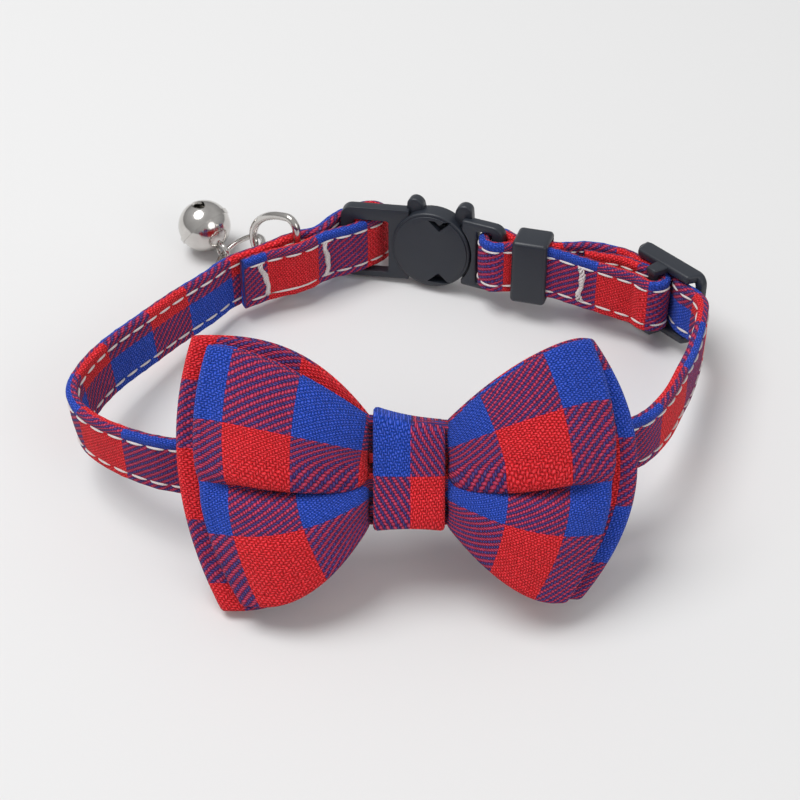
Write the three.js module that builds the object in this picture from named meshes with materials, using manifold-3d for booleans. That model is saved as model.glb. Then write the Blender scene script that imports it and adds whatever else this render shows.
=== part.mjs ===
// A pet collar of folded plaid cloth with a bow tie, laid down as an open loop.
// Millimetres, +Z up. +X runs to the right along the bow and +Y from the bow to the clasp.
// The loop is drawn flat in its own frame and then leans, because the bow is taller than
// the strap: the feet of the bow and the clasp both rest on the ground plane z = 0.

import * as THREE from 'three';
import { mergeVertices } from 'three/addons/utils/BufferGeometryUtils.js';
import Module from 'manifold-3d';

const wasm = await Module();
wasm.setup();

// Clearance between pieces that touch on the real collar
const gap = 0.3;

// Strap
const strapWidth = 10;
const strapThick = 1.9;
const strapCorner = 0.6;
const loopWidth = 104;
const loopDepth = 62;
const backRise = 2.9;

// Left tab: distances along the strap from the clasp bar
const innerTackAt = 6.4;
const ringAt = 11.2;
const outerTackAt = 18.6;
const tabLength = 22.6;
const tabBlend = 8;
const leftSlack = 4.4;

// Clasp
const headRadius = 7.5;
const headThick = 4;
const headBevel = 0.4;
const headLift = 1.05;
const headX = 6;
const claspTurn = -18;
const armBend = 9;
const leftArm = 8.4;
const rightArm = 5.4;
const barInset = 0.6;
const barEase = 0.35;
const barRadius = 1.1;
const railOutside = 7.1;
const lowRail = 1.15;
const frameCorner = 2;
const slotCorner = 0.5;
const frameDepth = 2.2;
const frameBevel = 0.5;
const tongueThick = 1.1;
const tongueHalf = 5.1;
const earReach = 4.3;
const earRise = 1.7;
const earWidth = 4;
const earThick = 2.2;
const earRoot = 1.2;
const earShift = 1.1;
const windowWidth = 4.8;
const windowDepth = 2.6;
const windowFromRim = 1.2;
const windowShift = 1.7;
const cavityFrom = -3.6;
const cavityPastRim = 1.6;
const prongFrom = -3.1;
const prongTo = 4.2;
const prongThick = 2.3;

// Keeper loop
const keeperLength = 6.4;
const keeperWall = 0.85;
const keeperCorner = 1;
const keeperLift = 0.2;
const keeperFromBar = 3.1;
const keeperTurn = -17;
const keeperSwing = 4;

// Slider
const sliderHalf = 8.1;
const sliderBar = 1.8;
const sliderPlate = 1.6;
const sliderDeep = 1.8;
const sliderRail = 1.6;
const sliderCore = 0.9;
const sliderTurn = -54;
const sliderX = 46;
const sliderY = 48;
const sliderHump = 2;
const sliderLift = 1.6;
const sliderRun = 3;
const sliderDip = 1.2;
const bossHalf = 1.5;
const bossFlare = 1.4;
const outerBulge = 1.3;
const endReach = 0.42;

// D ring, jump ring and bell
const ringWire = 1.5;
const ringInside = 13;
const ringDepth = 10.4;
const ringSwing = 21;
const linkWire = 1;
const linkInside = 9;
const linkTurn = 100;
const linkEase = 1.35;
const linkStretch = 0.97;
const hangerPlay = 0.4;
const hangerSeat = 0.2;
const bellWay = 155;
const bellSide = 0.58;
const bellFront = 0.58;
const bellDip = 0.58;
const bellRadius = 4.9;
const bellWall = 0.5;
const bellBand = 0.25;
const bellSlot = 1;
const bellHole = 1.1;
const hangerWire = 0.9;
const hangerRadius = 1.7;
const peaRadius = 1.6;

// Bow
const bowHalfWidth = 35;
const bowHalfHeight = 20.3;
const bowWall = 1;
const bowLean = 25;
const bowPuff = 5.2;
const backPuff = 1.1;
const foldDepth = 3.3;
const pinchHalf = 6.8;
const bowRaise = 0.5;
const knotWidth = 10.6;
const knotHalfHeight = 8.8;
const knotWall = 1.2;
const bandWidth = 8;
const bandWall = 0.9;

const layerStep = strapThick + gap;
const strapHalf = strapWidth / 2;
const railInside = strapHalf + gap;
const rad = THREE.MathUtils.degToRad;

// Materials
const cloth = new THREE.MeshStandardMaterial({ color: 0x7a2b55, roughness: 0.9, metalness: 0 });
const elastic = new THREE.MeshStandardMaterial({ color: 0x202024, roughness: 0.9, metalness: 0 });
const plastic = new THREE.MeshStandardMaterial({ color: 0x24272c, roughness: 0.55, metalness: 0 });
const nickel = new THREE.MeshStandardMaterial({ color: 0xc9c7c0, roughness: 0.2, metalness: 1 });

// Solids
function closedGeometry(points, triangles) {
  const geometry = new THREE.BufferGeometry();
  const numbers = points.flatMap((p) => [p.x, p.y, p.z]);
  geometry.setAttribute('position', new THREE.Float32BufferAttribute(numbers, 3));
  let volume = 0;
  for (const [a, b, c] of triangles) volume += points[a].dot(points[b].clone().cross(points[c]));
  geometry.setIndex(triangles.flatMap(([a, b, c]) => (volume < 0 ? [a, c, b] : [a, b, c])));
  return geometry;
}

function toManifold(geometry) {
  const bare = geometry.clone();
  bare.deleteAttribute('normal');
  bare.deleteAttribute('uv');
  const merged = mergeVertices(bare, 1e-4);
  return new wasm.Manifold(new wasm.Mesh({
    numProp: 3,
    vertProperties: new Float32Array(merged.attributes.position.array),
    triVerts: new Uint32Array(merged.index.array),
  }));
}

function fromManifold(solid) {
  const mesh = solid.getMesh();
  const geometry = new THREE.BufferGeometry();
  geometry.setAttribute('position', new THREE.BufferAttribute(Float32Array.from(mesh.vertProperties), 3));
  geometry.setIndex(new THREE.BufferAttribute(Uint32Array.from(mesh.triVerts), 1));
  return geometry;
}

function joined(...geometries) {
  return geometries.map(toManifold).reduce((sum, next) => sum.add(next));
}

// A shape drawn in x and z, extruded along y between two faces
function extrudeAlongY(shape, from, to, bevel = 0, curveSegments = 5) {
  const geometry = new THREE.ExtrudeGeometry(shape, {
    depth: to - from - 2 * bevel,
    bevelEnabled: bevel > 0,
    bevelThickness: bevel,
    bevelSize: bevel,
    bevelOffset: -bevel,
    bevelSegments: 1,
    curveSegments,
  });
  return geometry.rotateX(Math.PI / 2).translate(0, to - bevel, 0);
}

function extrudeAlongZ(shape, from, to, bevel = 0, curveSegments = 5) {
  const geometry = new THREE.ExtrudeGeometry(shape, {
    depth: to - from - 2 * bevel,
    bevelEnabled: bevel > 0,
    bevelThickness: bevel,
    bevelSize: bevel,
    bevelOffset: -bevel,
    bevelSegments: 1,
    curveSegments,
  });
  return geometry.translate(0, 0, from + bevel);
}

function roundedRectangle(left, right, low, high, radius) {
  const shape = new THREE.Shape();
  shape.moveTo(left + radius, low);
  shape.lineTo(right - radius, low);
  shape.absarc(right - radius, low + radius, radius, -Math.PI / 2, 0);
  shape.lineTo(right, high - radius);
  shape.absarc(right - radius, high - radius, radius, 0, Math.PI / 2);
  shape.lineTo(left + radius, high);
  shape.absarc(left + radius, high - radius, radius, Math.PI / 2, Math.PI);
  shape.lineTo(left, low + radius);
  shape.absarc(left + radius, low + radius, radius, Math.PI, 1.5 * Math.PI);
  return shape;
}

// A tube or ribbon lofted through equal rings of points, closed on itself or capped
function loftRings(rings, closed) {
  const count = rings[0].length;
  const points = rings.flat();
  const triangles = [];
  const last = closed ? rings.length : rings.length - 1;
  for (let i = 0; i < last; i += 1) {
    const here = i * count;
    const next = ((i + 1) % rings.length) * count;
    for (let k = 0; k < count; k += 1) {
      const after = (k + 1) % count;
      triangles.push([here + k, next + k, next + after], [here + k, next + after, here + after]);
    }
  }
  if (!closed) {
    const end = (rings.length - 1) * count;
    for (let k = 1; k < count - 1; k += 1) {
      triangles.push([0, k, k + 1], [end, end + k + 1, end + k]);
    }
  }
  return closedGeometry(points, triangles);
}

// A band of cloth that closes on itself: grid[station][row] is its middle surface
function clothRing(grid, wall) {
  const rings = grid.map((rows, i) => {
    const before = grid[(i + grid.length - 1) % grid.length];
    const after = grid[(i + 1) % grid.length];
    const normals = rows.map((p, r) => {
      const along = after[r].clone().sub(before[r]);
      const across = rows[Math.min(r + 1, rows.length - 1)].clone().sub(rows[Math.max(r - 1, 0)]);
      return along.cross(across).normalize().multiplyScalar(wall / 2);
    });
    const outside = rows.map((p, r) => p.clone().add(normals[r]));
    const inside = rows.map((p, r) => p.clone().sub(normals[r])).reverse();
    return [...outside, ...inside];
  });
  return loftRings(rings, true);
}

// A round wire along a closed line of points
function closedWire(points, radius, sides) {
  const count = points.length;
  const middle = points.reduce((sum, p) => sum.add(p), new THREE.Vector3()).divideScalar(count);
  const quarter = points[Math.floor(count / 4)].clone().sub(middle);
  const normal = points[0].clone().sub(middle).cross(quarter).normalize();
  const rings = points.map((p, i) => {
    const along = points[(i + 1) % count].clone().sub(points[(i + count - 1) % count]).normalize();
    const side = along.clone().cross(normal).normalize();
    return Array.from({ length: sides }, (unused, k) => {
      const turn = (2 * Math.PI * k) / sides;
      return p.clone()
        .addScaledVector(side, radius * Math.cos(turn))
        .addScaledVector(normal, radius * Math.sin(turn));
    });
  });
  return loftRings(rings, true);
}

function smooth(share) {
  const t = THREE.MathUtils.clamp(share, 0, 1);
  return t * t * (3 - 2 * t);
}

// A value read from a short table whose first column is named "at"
function readTable(rows, at, column) {
  if (at <= rows[0].at) return rows[0][column];
  for (let i = 1; i < rows.length; i += 1) {
    if (at <= rows[i].at) {
      const share = smooth((at - rows[i - 1].at) / (rows[i].at - rows[i - 1].at));
      return THREE.MathUtils.lerp(rows[i - 1][column], rows[i][column], share);
    }
  }
  return rows[rows.length - 1][column];
}

// A seat is a place in plan with its own direction along the strap and out from the neck
function seat(x, y, z, direction) {
  const along = new THREE.Vector3(Math.cos(direction), Math.sin(direction), 0);
  const out = new THREE.Vector3(-along.y, along.x, 0);
  return {
    along, out, direction, z,
    at: (a, o) => new THREE.Vector3(x, y, z).addScaledVector(along, a).addScaledVector(out, o),
  };
}

// Where the hardware sits in the frame of the loop. The strap's left end sits low in its frame.
const headHeight = headRadius + headLift;
const tabHeight = strapHalf + backRise;
const head = seat(headX, loopDepth, headHeight, rad(claspTurn));
const leftRoot = head.at(-headRadius, 0);
const rightRoot = head.at(headRadius, 0);
const leftFrame = seat(leftRoot.x, leftRoot.y, headHeight, rad(claspTurn + armBend));
const rightFrame = seat(rightRoot.x, rightRoot.y, headHeight, rad(claspTurn - armBend));
const leftBar = leftFrame.at(-leftArm, -barInset);
const rightBar = rightFrame.at(rightArm, -barInset);
const slider = seat(sliderX, sliderY, strapHalf + sliderLift, rad(sliderTurn));
const keeperHeight = headHeight + keeperLift;
const barEnd = seat(rightBar.x, rightBar.y, keeperHeight, rad(keeperTurn - keeperSwing));
const keeperPlace = barEnd.at(keeperFromBar + keeperLength / 2, 0);
const keeper = seat(keeperPlace.x, keeperPlace.y, keeperHeight, rad(keeperTurn));

// The route of the strap between the clasp and the slider, as shares of the loop's width and
// depth, of the bow's lean, of a small outward lean, and of the rise of the strap at the back
const sideLean = 7;
const route = [
  { across: -0.133, deep: 0.988, lean: 0, rise: 0.95 },
  { across: -0.180, deep: 0.942, lean: 0, rise: 0.8 },
  { across: -0.238, deep: 0.893, lean: 0.1, rise: 0.6 },
  { across: -0.290, deep: 0.841, lean: 0.5, rise: 0.4 },
  { across: -0.360, deep: 0.722, lean: 1, rise: 0.1 },
  { across: -0.420, deep: 0.580, lean: 1, rise: 0 },
  { across: -0.462, deep: 0.467, lean: 1, rise: 0 },
  { across: -0.490, deep: 0.354, lean: 1, rise: 0 },
  { across: -0.500, deep: 0.248, lean: 1, rise: 0 },
  { across: -0.483, deep: 0.170, lean: 1, rise: 0 },
  { across: -0.448, deep: 0.108, lean: 0.9, rise: 0 },
  { across: -0.403, deep: 0.058, lean: 0.5, rise: 0 },
  { across: -0.341, deep: 0.013, lean: 0, rise: 0 },
  { across: -0.173, deep: -0.007, bow: 0.8, rise: 0 },
  { across: 0.012, deep: 0, bow: 1, rise: 0 },
  { across: 0.192, deep: 0.030, bow: 0.8, rise: 0 },
  { across: 0.352, deep: 0.102, lean: 0, rise: 0 },
  { across: 0.400, deep: 0.192, lean: 0, rise: 0 },
  { across: 0.440, deep: 0.330, lean: 0, rise: 0 },
  { across: 0.468, deep: 0.446, lean: 0, rise: 0 },
];

const routePoints = [
  { place: leftBar.clone().setZ(tabHeight), lean: 0 },
  ...route.map((row) => ({
    place: new THREE.Vector3(row.across * loopWidth, row.deep * loopDepth, strapHalf + row.rise * backRise),
    lean: row.bow === undefined ? row.lean * sideLean : -row.bow * bowLean,
    bow: row.bow,
  })),
  { place: slider.at(sliderHalf + sliderRun, -sliderDip), lean: 0 },
  { place: slider.at(sliderHalf, 0), lean: 0 },
];
const routeCurve = new THREE.CatmullRomCurve3(routePoints.map((p) => p.place), false, 'centripetal');
routeCurve.arcLengthDivisions = 1200;
const routeLength = routeCurve.getLength();

function routeLean(curveShare) {
  const scaled = curveShare * (routePoints.length - 1);
  const i = Math.min(Math.floor(scaled), routePoints.length - 2);
  return THREE.MathUtils.lerp(routePoints[i].lean, routePoints[i + 1].lean, smooth(scaled - i));
}

// The strap's seat at a distance along the route from the left bar
function routeSeat(distance) {
  const along = THREE.MathUtils.clamp(distance / routeLength, 0, 1);
  const share = routeCurve.getUtoTmapping(along);
  const place = routeCurve.getPoint(share);
  const tangent = routeCurve.getTangent(share);
  const past = Math.min(distance, 0);
  const direction = Math.atan2(-tangent.y, -tangent.x);
  const made = seat(place.x, place.y, place.z, direction);
  return {
    ...made,
    at: (a, o) => made.at(a - past, o),
    lean: routeLean(share),
  };
}

// The strap is one strip: its left end is folded round the clasp's bar and back, it runs round
// the neck, through the slider and round the other bar, and its right end is sewn round the slider
const barSpread = barRadius + barEase + gap + strapThick / 2;
const flatSpread = layerStep / 2;
const ringSpread = ringWire / 2 + gap + strapThick / 2;
const leftSpread = [
  { at: 0, spread: barSpread },
  { at: innerTackAt, spread: flatSpread },
  { at: ringAt, spread: ringSpread },
  { at: outerTackAt, spread: flatSpread },
  { at: tabLength, spread: flatSpread },
  { at: tabLength + tabBlend, spread: 0 },
];
const coreWrap = sliderCore + gap + strapThick / 2;
const coreOut = sliderHump - coreWrap - layerStep;

function bend(centre, from, to, steps) {
  return Array.from({ length: steps }, (unused, i) => {
    const turn = THREE.MathUtils.lerp(from, to, (i + 0.5) / steps);
    return centre(Math.cos(turn), Math.sin(turn));
  });
}

function strapPath() {
  const path = [];
  const add = (place, lean = 0) => path.push({ place, lean });
  const spreadAt = (distance) => readTable(leftSpread, distance, 'spread');
  const tabSteps = 9;
  for (let i = 0; i <= tabSteps; i += 1) {
    const distance = tabLength * (1 - i / tabSteps);
    add(routeSeat(distance).at(0, -spreadAt(distance)));
  }
  const barSeat = routeSeat(0);
  bend((c, s) => barSeat.at(leftSlack + barSpread * c, barSpread * s), -Math.PI / 2, Math.PI / 2, 6)
    .forEach((place) => add(place));
  const mainSteps = 64;
  for (let i = 0; i <= mainSteps; i += 1) {
    const distance = (routeLength * i) / mainSteps;
    const here = routeSeat(distance);
    add(here.at(0, spreadAt(distance)), here.lean);
  }
  const humpSteps = 8;
  const humpHalf = sliderHalf - sliderBar - gap;
  add(slider.at(humpHalf, 0));
  for (let i = 1; i < humpSteps; i += 1) {
    const a = humpHalf * (1 - (2 * i) / humpSteps);
    add(slider.at(a, sliderHump * 0.5 * (1 + Math.cos((Math.PI * a) / humpHalf))));
  }
  add(slider.at(-humpHalf, 0));
  add(slider.at(-sliderHalf - 0.5, 0));
  const keeperEnd = keeperLength / 2 + 1;
  const outerFrom = slider.at(-sliderHalf - 1.5, 0);
  const outerTo = keeper.at(keeperEnd, flatSpread);
  add(outerFrom.clone().lerp(outerTo, 0.5).addScaledVector(keeper.out, outerBulge));
  add(outerTo);
  add(keeper.at(0, flatSpread));
  add(keeper.at(-keeperLength / 2, flatSpread));
  bend((c, s) => barEnd.at(-barSpread * c, barSpread * s), Math.PI / 2 + 0.2, -Math.PI / 2 - 0.2, 7)
    .forEach((place) => add(place));
  add(keeper.at(-keeperLength / 2, -flatSpread));
  add(keeper.at(0, -flatSpread));
  add(keeper.at(keeperEnd, -flatSpread));
  const innerFrom = keeper.at(keeperEnd, -flatSpread);
  const innerTo = slider.at(-sliderHalf, coreOut - coreWrap);
  add(innerFrom.clone().lerp(innerTo, 0.5).addScaledVector(keeper.out, -outerBulge * 0.3));
  add(innerTo);
  add(slider.at(-sliderHalf / 2, coreOut - coreWrap));
  bend((c, s) => slider.at(coreWrap * c, coreOut + coreWrap * s), -Math.PI / 2, Math.PI / 2, 6)
    .forEach((place) => add(place));
  add(slider.at(-sliderHalf / 2, coreOut + coreWrap * 0.55));
  const middleFrom = slider.at(-sliderHalf, -layerStep);
  add(middleFrom);
  const middleTo = keeper.at(keeperEnd, 0).lerp(middleFrom, endReach);
  add(middleFrom.clone().lerp(middleTo, 0.5));
  add(middleTo);
  return path;
}

// Half a strap section, from its outer face round the top edge: w across, n through the strap
const strapSection = [
  { w: 1, n: -1, cut: 'n' },
  { w: 1, n: 1, cut: 'n' },
  { w: 1, n: 1, cut: 'w' },
  { w: -1, n: 1, cut: 'w' },
  { w: -1, n: 1, cut: 'n' },
  { w: -1, n: -1, cut: 'n' },
  { w: -1, n: -1, cut: 'w' },
  { w: 1, n: -1, cut: 'w' },
];

function strapSolid() {
  const path = strapPath();
  const curve = new THREE.CatmullRomCurve3(path.map((p) => p.place), false, 'centripetal');
  const stepLength = 3.4;
  const shares = [];
  for (let i = 0; i < path.length - 1; i += 1) {
    const length = path[i].place.distanceTo(path[i + 1].place);
    const steps = Math.max(1, Math.round(length / stepLength));
    for (let k = 0; k < steps; k += 1) shares.push((i + k / steps) / (path.length - 1));
  }
  shares.push(1);
  const up = new THREE.Vector3(0, 0, 1);
  const rings = shares.map((share) => {
    const scaled = share * (path.length - 1);
    const i = Math.min(Math.floor(scaled), path.length - 2);
    const lean = rad(THREE.MathUtils.lerp(path[i].lean, path[i + 1].lean, scaled - i));
    const place = curve.getPoint(share);
    const tangent = curve.getTangent(share).setZ(0).normalize();
    const out = new THREE.Vector3(tangent.y, -tangent.x, 0);
    const wide = up.clone().multiplyScalar(Math.cos(lean)).addScaledVector(out, Math.sin(lean));
    const thick = out.clone().multiplyScalar(Math.cos(lean)).addScaledVector(up, -Math.sin(lean));
    return strapSection.map((corner) => place.clone()
      .addScaledVector(wide, corner.w * (strapHalf - (corner.cut === 'w' ? strapCorner : 0)))
      .addScaledVector(thick, corner.n * (strapThick / 2 - (corner.cut === 'n' ? strapCorner : 0))));
  });
  return loftRings(rings, false);
}

// Places a geometry made in a seat's own frame: x along, y out, z up
function placed(geometry, where, a = 0, o = 0) {
  const origin = where.at(a, o);
  return geometry.clone().rotateZ(where.direction).translate(origin.x, origin.y, origin.z);
}

// The frame that a strap loops through: two rails, an end bar and an open slot at the strap's height
function barFrame(barAt, from, slotFrom, side, slotRise) {
  const far = barAt + barRadius;
  const outline = roundedRectangle(
    Math.min(side * from, side * far), Math.max(side * from, side * far),
    slotRise - railInside - lowRail, railOutside, frameCorner);
  const slotTo = barAt - barRadius;
  outline.holes.push(roundedRectangle(
    Math.min(side * slotFrom, side * slotTo), Math.max(side * slotFrom, side * slotTo),
    slotRise - railInside, slotRise + railInside, slotCorner));
  return extrudeAlongY(outline, -barInset - frameDepth / 2, -barInset + frameDepth / 2, frameBevel, 3);
}

function headDisc(radius, from, to, bevel, dome, segments) {
  const profile = [
    [0, from], [radius - bevel, from], [radius, from + bevel],
    [radius, to - bevel], [radius - bevel, to], [0, to + dome],
  ];
  return new THREE.LatheGeometry(profile.map(([r, y]) => new THREE.Vector2(r, y)), segments);
}

// An ear is a blunt tab behind the rim: its outer side stands upright and its inner side slopes
function ear(side, room = 0) {
  const middle = side * earReach;
  const half = earWidth / 2 + room;
  const base = Math.sqrt(headRadius ** 2 - earReach ** 2) - earRoot - room;
  const tip = headRadius + earRise + room;
  const outer = middle + side * half;
  const inner = middle - side * half;
  const shape = new THREE.Shape();
  shape.moveTo(outer, base);
  const rise = (share) => THREE.MathUtils.lerp(base, tip, share);
  const aside = (share) => middle + side * half * share;
  shape.bezierCurveTo(outer, rise(0.8), aside(0.75), tip, aside(0.1), tip);
  shape.bezierCurveTo(aside(-0.5), tip, aside(-0.6), rise(0.6), inner, base);
  return extrudeAlongY(shape, headThick / 2 - earThick - room, headThick / 2 + room, 0.3, 5);
}

function windowCut(side) {
  const rim = side * (headRadius - windowFromRim);
  const apex = side * (headRadius - windowFromRim - windowDepth);
  const shape = new THREE.Shape();
  const points = [[-windowWidth / 2, rim], [windowWidth / 2, rim], [0, apex]];
  if (side < 0) points.reverse();
  shape.setFromPoints(points.map(([x, z]) => new THREE.Vector2(x, z)));
  return extrudeAlongY(shape, -headThick, 0);
}

const cavityHalf = tongueThick / 2 + gap;

function claspHead() {
  const frame = placed(barFrame(leftArm, -3, 0.2, -1, tabHeight - headHeight), leftFrame);
  const body = placed(headDisc(headRadius, -headThick / 2, headThick / 2, headBevel, headBevel, 36), head);
  const ears = [-1, 1].map((side) => placed(ear(side), head, earShift));
  const cavityTo = headRadius + cavityPastRim;
  const cavity = new THREE.BoxGeometry(cavityTo - cavityFrom, 2 * cavityHalf, 2 * (tongueHalf + gap))
    .translate((cavityTo + cavityFrom) / 2, 0, 0);
  const windows = [-1, 1].map((side) => placed(windowCut(side), head, windowShift));
  const cuts = [placed(cavity, head), ...windows].map(toManifold);
  return fromManifold(cuts.reduce((left, cut) => left.subtract(cut), joined(frame, body, ...ears)));
}

function claspTongue() {
  const slotFrom = rightArm - barSpread - strapThick / 2 - gap;
  const frame = toManifold(placed(barFrame(rightArm, -1.6, slotFrom, 1, keeperLift), rightFrame));
  const clear = toManifold(placed(headDisc(headRadius + gap, -headThick, headThick, 0.1, 0, 36), head));
  const shape = new THREE.Shape();
  const root = headRadius + 1;
  [
    [root, -tongueHalf], [root, tongueHalf], [prongFrom + 1, tongueHalf], [prongFrom, tongueHalf - 1],
    [prongFrom, tongueHalf - prongThick], [prongTo, tongueHalf - prongThick],
    [prongTo, prongThick - tongueHalf], [prongFrom, prongThick - tongueHalf],
    [prongFrom, 1 - tongueHalf], [prongFrom + 1, -tongueHalf],
  ].reverse().forEach(([x, z], i) => (i ? shape.lineTo(x, z) : shape.moveTo(x, z)));
  const tongue = toManifold(placed(extrudeAlongY(shape, -tongueThick / 2, tongueThick / 2), head));
  const earRoom = toManifold(placed(ear(1, gap), head, earShift));
  return fromManifold(frame.subtract(clear).subtract(earRoom).add(tongue));
}

function keeperLoop() {
  const deep = strapThick + gap / 2 + gap;
  const tall = strapHalf + gap;
  const outline = roundedRectangle(
    -deep - keeperWall, deep + keeperWall, -tall - keeperWall, tall + keeperWall, keeperCorner);
  outline.holes.push(roundedRectangle(-deep, deep, -tall, tall, 0.3));
  const geometry = extrudeAlongZ(outline, -keeperLength / 2, keeperLength / 2, 0.25, 3);
  return placed(geometry.rotateX(Math.PI / 2).rotateZ(Math.PI / 2), keeper);
}

function sliderBody() {
  const face = strapThick / 2 + gap;
  const plate = [face, face + sliderPlate];
  const profile = new THREE.Shape();
  const inner = plate[0] - sliderDeep;
  profile.moveTo(-sliderHalf, plate[0] + 0.3);
  profile.lineTo(-sliderHalf + 0.4, plate[0]);
  profile.lineTo(-sliderHalf + sliderBar, inner);
  profile.lineTo(-bossHalf - bossFlare, inner);
  profile.lineTo(-bossHalf, coreOut - sliderCore + 0.3);
  profile.lineTo(-bossHalf + 0.4, coreOut - sliderCore);
  profile.lineTo(bossHalf - 0.4, coreOut - sliderCore);
  profile.lineTo(bossHalf, coreOut - sliderCore + 0.3);
  profile.lineTo(bossHalf + bossFlare, inner);
  profile.lineTo(sliderHalf - sliderBar, inner);
  profile.lineTo(sliderHalf - 0.4, plate[0]);
  profile.lineTo(sliderHalf, plate[0] + 0.3);
  profile.lineTo(sliderHalf, plate[1] - 0.5);
  profile.quadraticCurveTo(0, plate[1] + 1.2, -sliderHalf, plate[1] - 0.5);
  const rails = [
    extrudeAlongZ(profile, railInside, railInside + sliderRail, 0.2, 6),
    extrudeAlongZ(profile, -railInside - sliderRail, -railInside, 0.2, 6),
  ];
  const sideBars = [-1, 1].map((side) => {
    const middle = side * (sliderHalf - sliderBar / 2);
    const half = sliderBar / 2;
    const bar = roundedRectangle(middle - half, middle + half, plate[0], plate[1] - 0.3, 0.4);
    return extrudeAlongZ(bar, -railInside - 0.4, railInside + 0.4, 0, 2);
  });
  const core = new THREE.CylinderGeometry(sliderCore, sliderCore, 2 * (railInside + 0.4), 12)
    .rotateX(Math.PI / 2)
    .translate(0, coreOut, 0);
  const solid = fromManifold(joined(...rails, ...sideBars, core));
  return placed(solid, slider);
}

// D ring: a straight bar in the tab's tunnel and a half ellipse outside, in its own frame:
// x away from the bar, z along it
function ringLine() {
  const half = (ringInside + ringWire) / 2;
  const reach = ringDepth + ringWire / 2;
  const arc = Array.from({ length: 19 }, (unused, i) => {
    const turn = (Math.PI * i) / 18;
    return new THREE.Vector3(reach * Math.sin(turn), 0, half * Math.cos(turn));
  });
  const bar = [-0.5, 0, 0.5].map((share) => new THREE.Vector3(0, 0, share * half));
  return [...arc, ...bar];
}

// Bow. Each lobe is a row: its corners, edge curves and belly as shares of the half width and height
const bowLobes = {
  frontLeft: { side: -1, tip: 0.854, rise: 0.955, crest: 1.55, foot: 0.731, drop: 0.95, hem: 2.3, belly: 0.104 },
  frontRight: { side: 1, tip: 0.777, rise: 1, crest: 1.6, foot: 0.697, drop: 0.925, hem: 1.7, belly: 0.134 },
  backLeft: { side: -1, tip: 0.931, rise: 1, crest: 2.7, foot: 0.829, drop: 1.035, hem: 2.3, belly: 0.12 },
  backRight: { side: 1, tip: 0.8, rise: 0.975, crest: 1.6, foot: 0.771, drop: 0.946, hem: 1.8, belly: 0.209 },
};
const swellTable = [
  { at: 0, swell: 0 }, { at: 0.12, swell: 0.5 }, { at: 0.3, swell: 0.88 },
  { at: 0.52, swell: 1 }, { at: 0.78, swell: 0.8 }, { at: 1, swell: 0.34 },
];
const foldTable = [
  { at: 0, fold: 0 }, { at: 0.1, fold: 0.75 }, { at: 0.3, fold: 1 },
  { at: 0.6, fold: 0.8 }, { at: 0.85, fold: 0.42 }, { at: 1, fold: 0.12 },
];
const bowRows = [-1, -0.82, -0.58, -0.34, -0.16, -0.04, 0.06, 0.16, 0.34, 0.58, 0.82, 1];

// Distances forward of the strap's middle for each thickness of cloth under the knot
const bandBack = strapThick / 2 + 1.5 * gap;
const knotBack = bandBack + bandWall + gap;
const clothBack = knotBack + knotWall + gap;
const panelStep = bowWall + gap;
const panelAt = (number) => clothBack + bowWall / 2 + number * panelStep;
const knotFront = panelAt(3) + bowWall / 2 + gap;
const knotHalf = knotWidth / 2;
const lobeStart = knotHalf + 2 * gap;
const foldInset = 1.6;

function panelLift(panel, u, v) {
  const swell = readTable(swellTable, u, 'swell');
  if (panel === 3) {
    const dome = 1 - 0.5 * Math.abs(v) ** 2.6;
    const fold = readTable(foldTable, u, 'fold') * foldDepth * Math.exp(-(((v + 0.02) / 0.13) ** 2));
    return Math.max(swell * bowPuff * dome - fold, swell * backPuff * 1.35 + 0.05);
  }
  return swell * backPuff * [0, 0.9, 1.2][panel];
}

function lobePoint(lobe, panel, u, v) {
  const t = (v + 1) / 2;
  const reach = bowHalfWidth * (THREE.MathUtils.lerp(lobe.foot, lobe.tip, t) + lobe.belly * (1 - v * v));
  const top = pinchHalf + (bowHalfHeight * lobe.rise - pinchHalf) * (1 - (1 - u) ** lobe.crest);
  const bottom = pinchHalf + (bowHalfHeight * lobe.drop - pinchHalf) * (1 - (1 - u) ** lobe.hem);
  const lip = panel === 3 ? 1.3 * readTable(foldTable, u, 'fold') * Math.exp(-(((v - 0.13) / 0.09) ** 2)) : 0;
  return new THREE.Vector3(
    lobe.side * (lobeStart + (reach - lobeStart - foldInset) * u),
    -panelAt(panel) - panelLift(panel, u, v),
    (v > 0 ? v * top : v * bottom) - lip,
  );
}

// One bow is a band of cloth that runs out along its front, round the end folds and back
function bowSheet(left, right, frontPanel, backPanel) {
  const outward = [0, 0.08, 0.2, 0.36, 0.54, 0.72, 0.88, 1];
  const grid = [];
  const station = (lobe, panel, u) => grid.push(bowRows.map((v) => lobePoint(lobe, panel, u, v)));
  const endFold = (lobe, backwards) => {
    const turns = [30, 90, 150];
    if (backwards) turns.reverse();
    turns.forEach((degrees) => {
      grid.push(bowRows.map((v) => {
        const near = lobePoint(lobe, frontPanel, 1, v);
        const far = lobePoint(lobe, backPanel, 1, v);
        const middle = near.clone().add(far).multiplyScalar(0.5);
        const radius = (far.y - near.y) / 2;
        const bulge = Math.min(radius, foldInset) * Math.sin(rad(degrees));
        middle.x += lobe.side * bulge;
        middle.y -= radius * Math.cos(rad(degrees));
        return middle;
      }));
    });
  };
  outward.forEach((u) => station(right, frontPanel, u));
  endFold(right, false);
  [...outward].reverse().forEach((u) => station(right, backPanel, u));
  outward.forEach((u) => station(left, backPanel, u));
  endFold(left, true);
  [...outward].reverse().forEach((u) => station(left, frontPanel, u));
  return clothRing(grid, bowWall);
}

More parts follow.
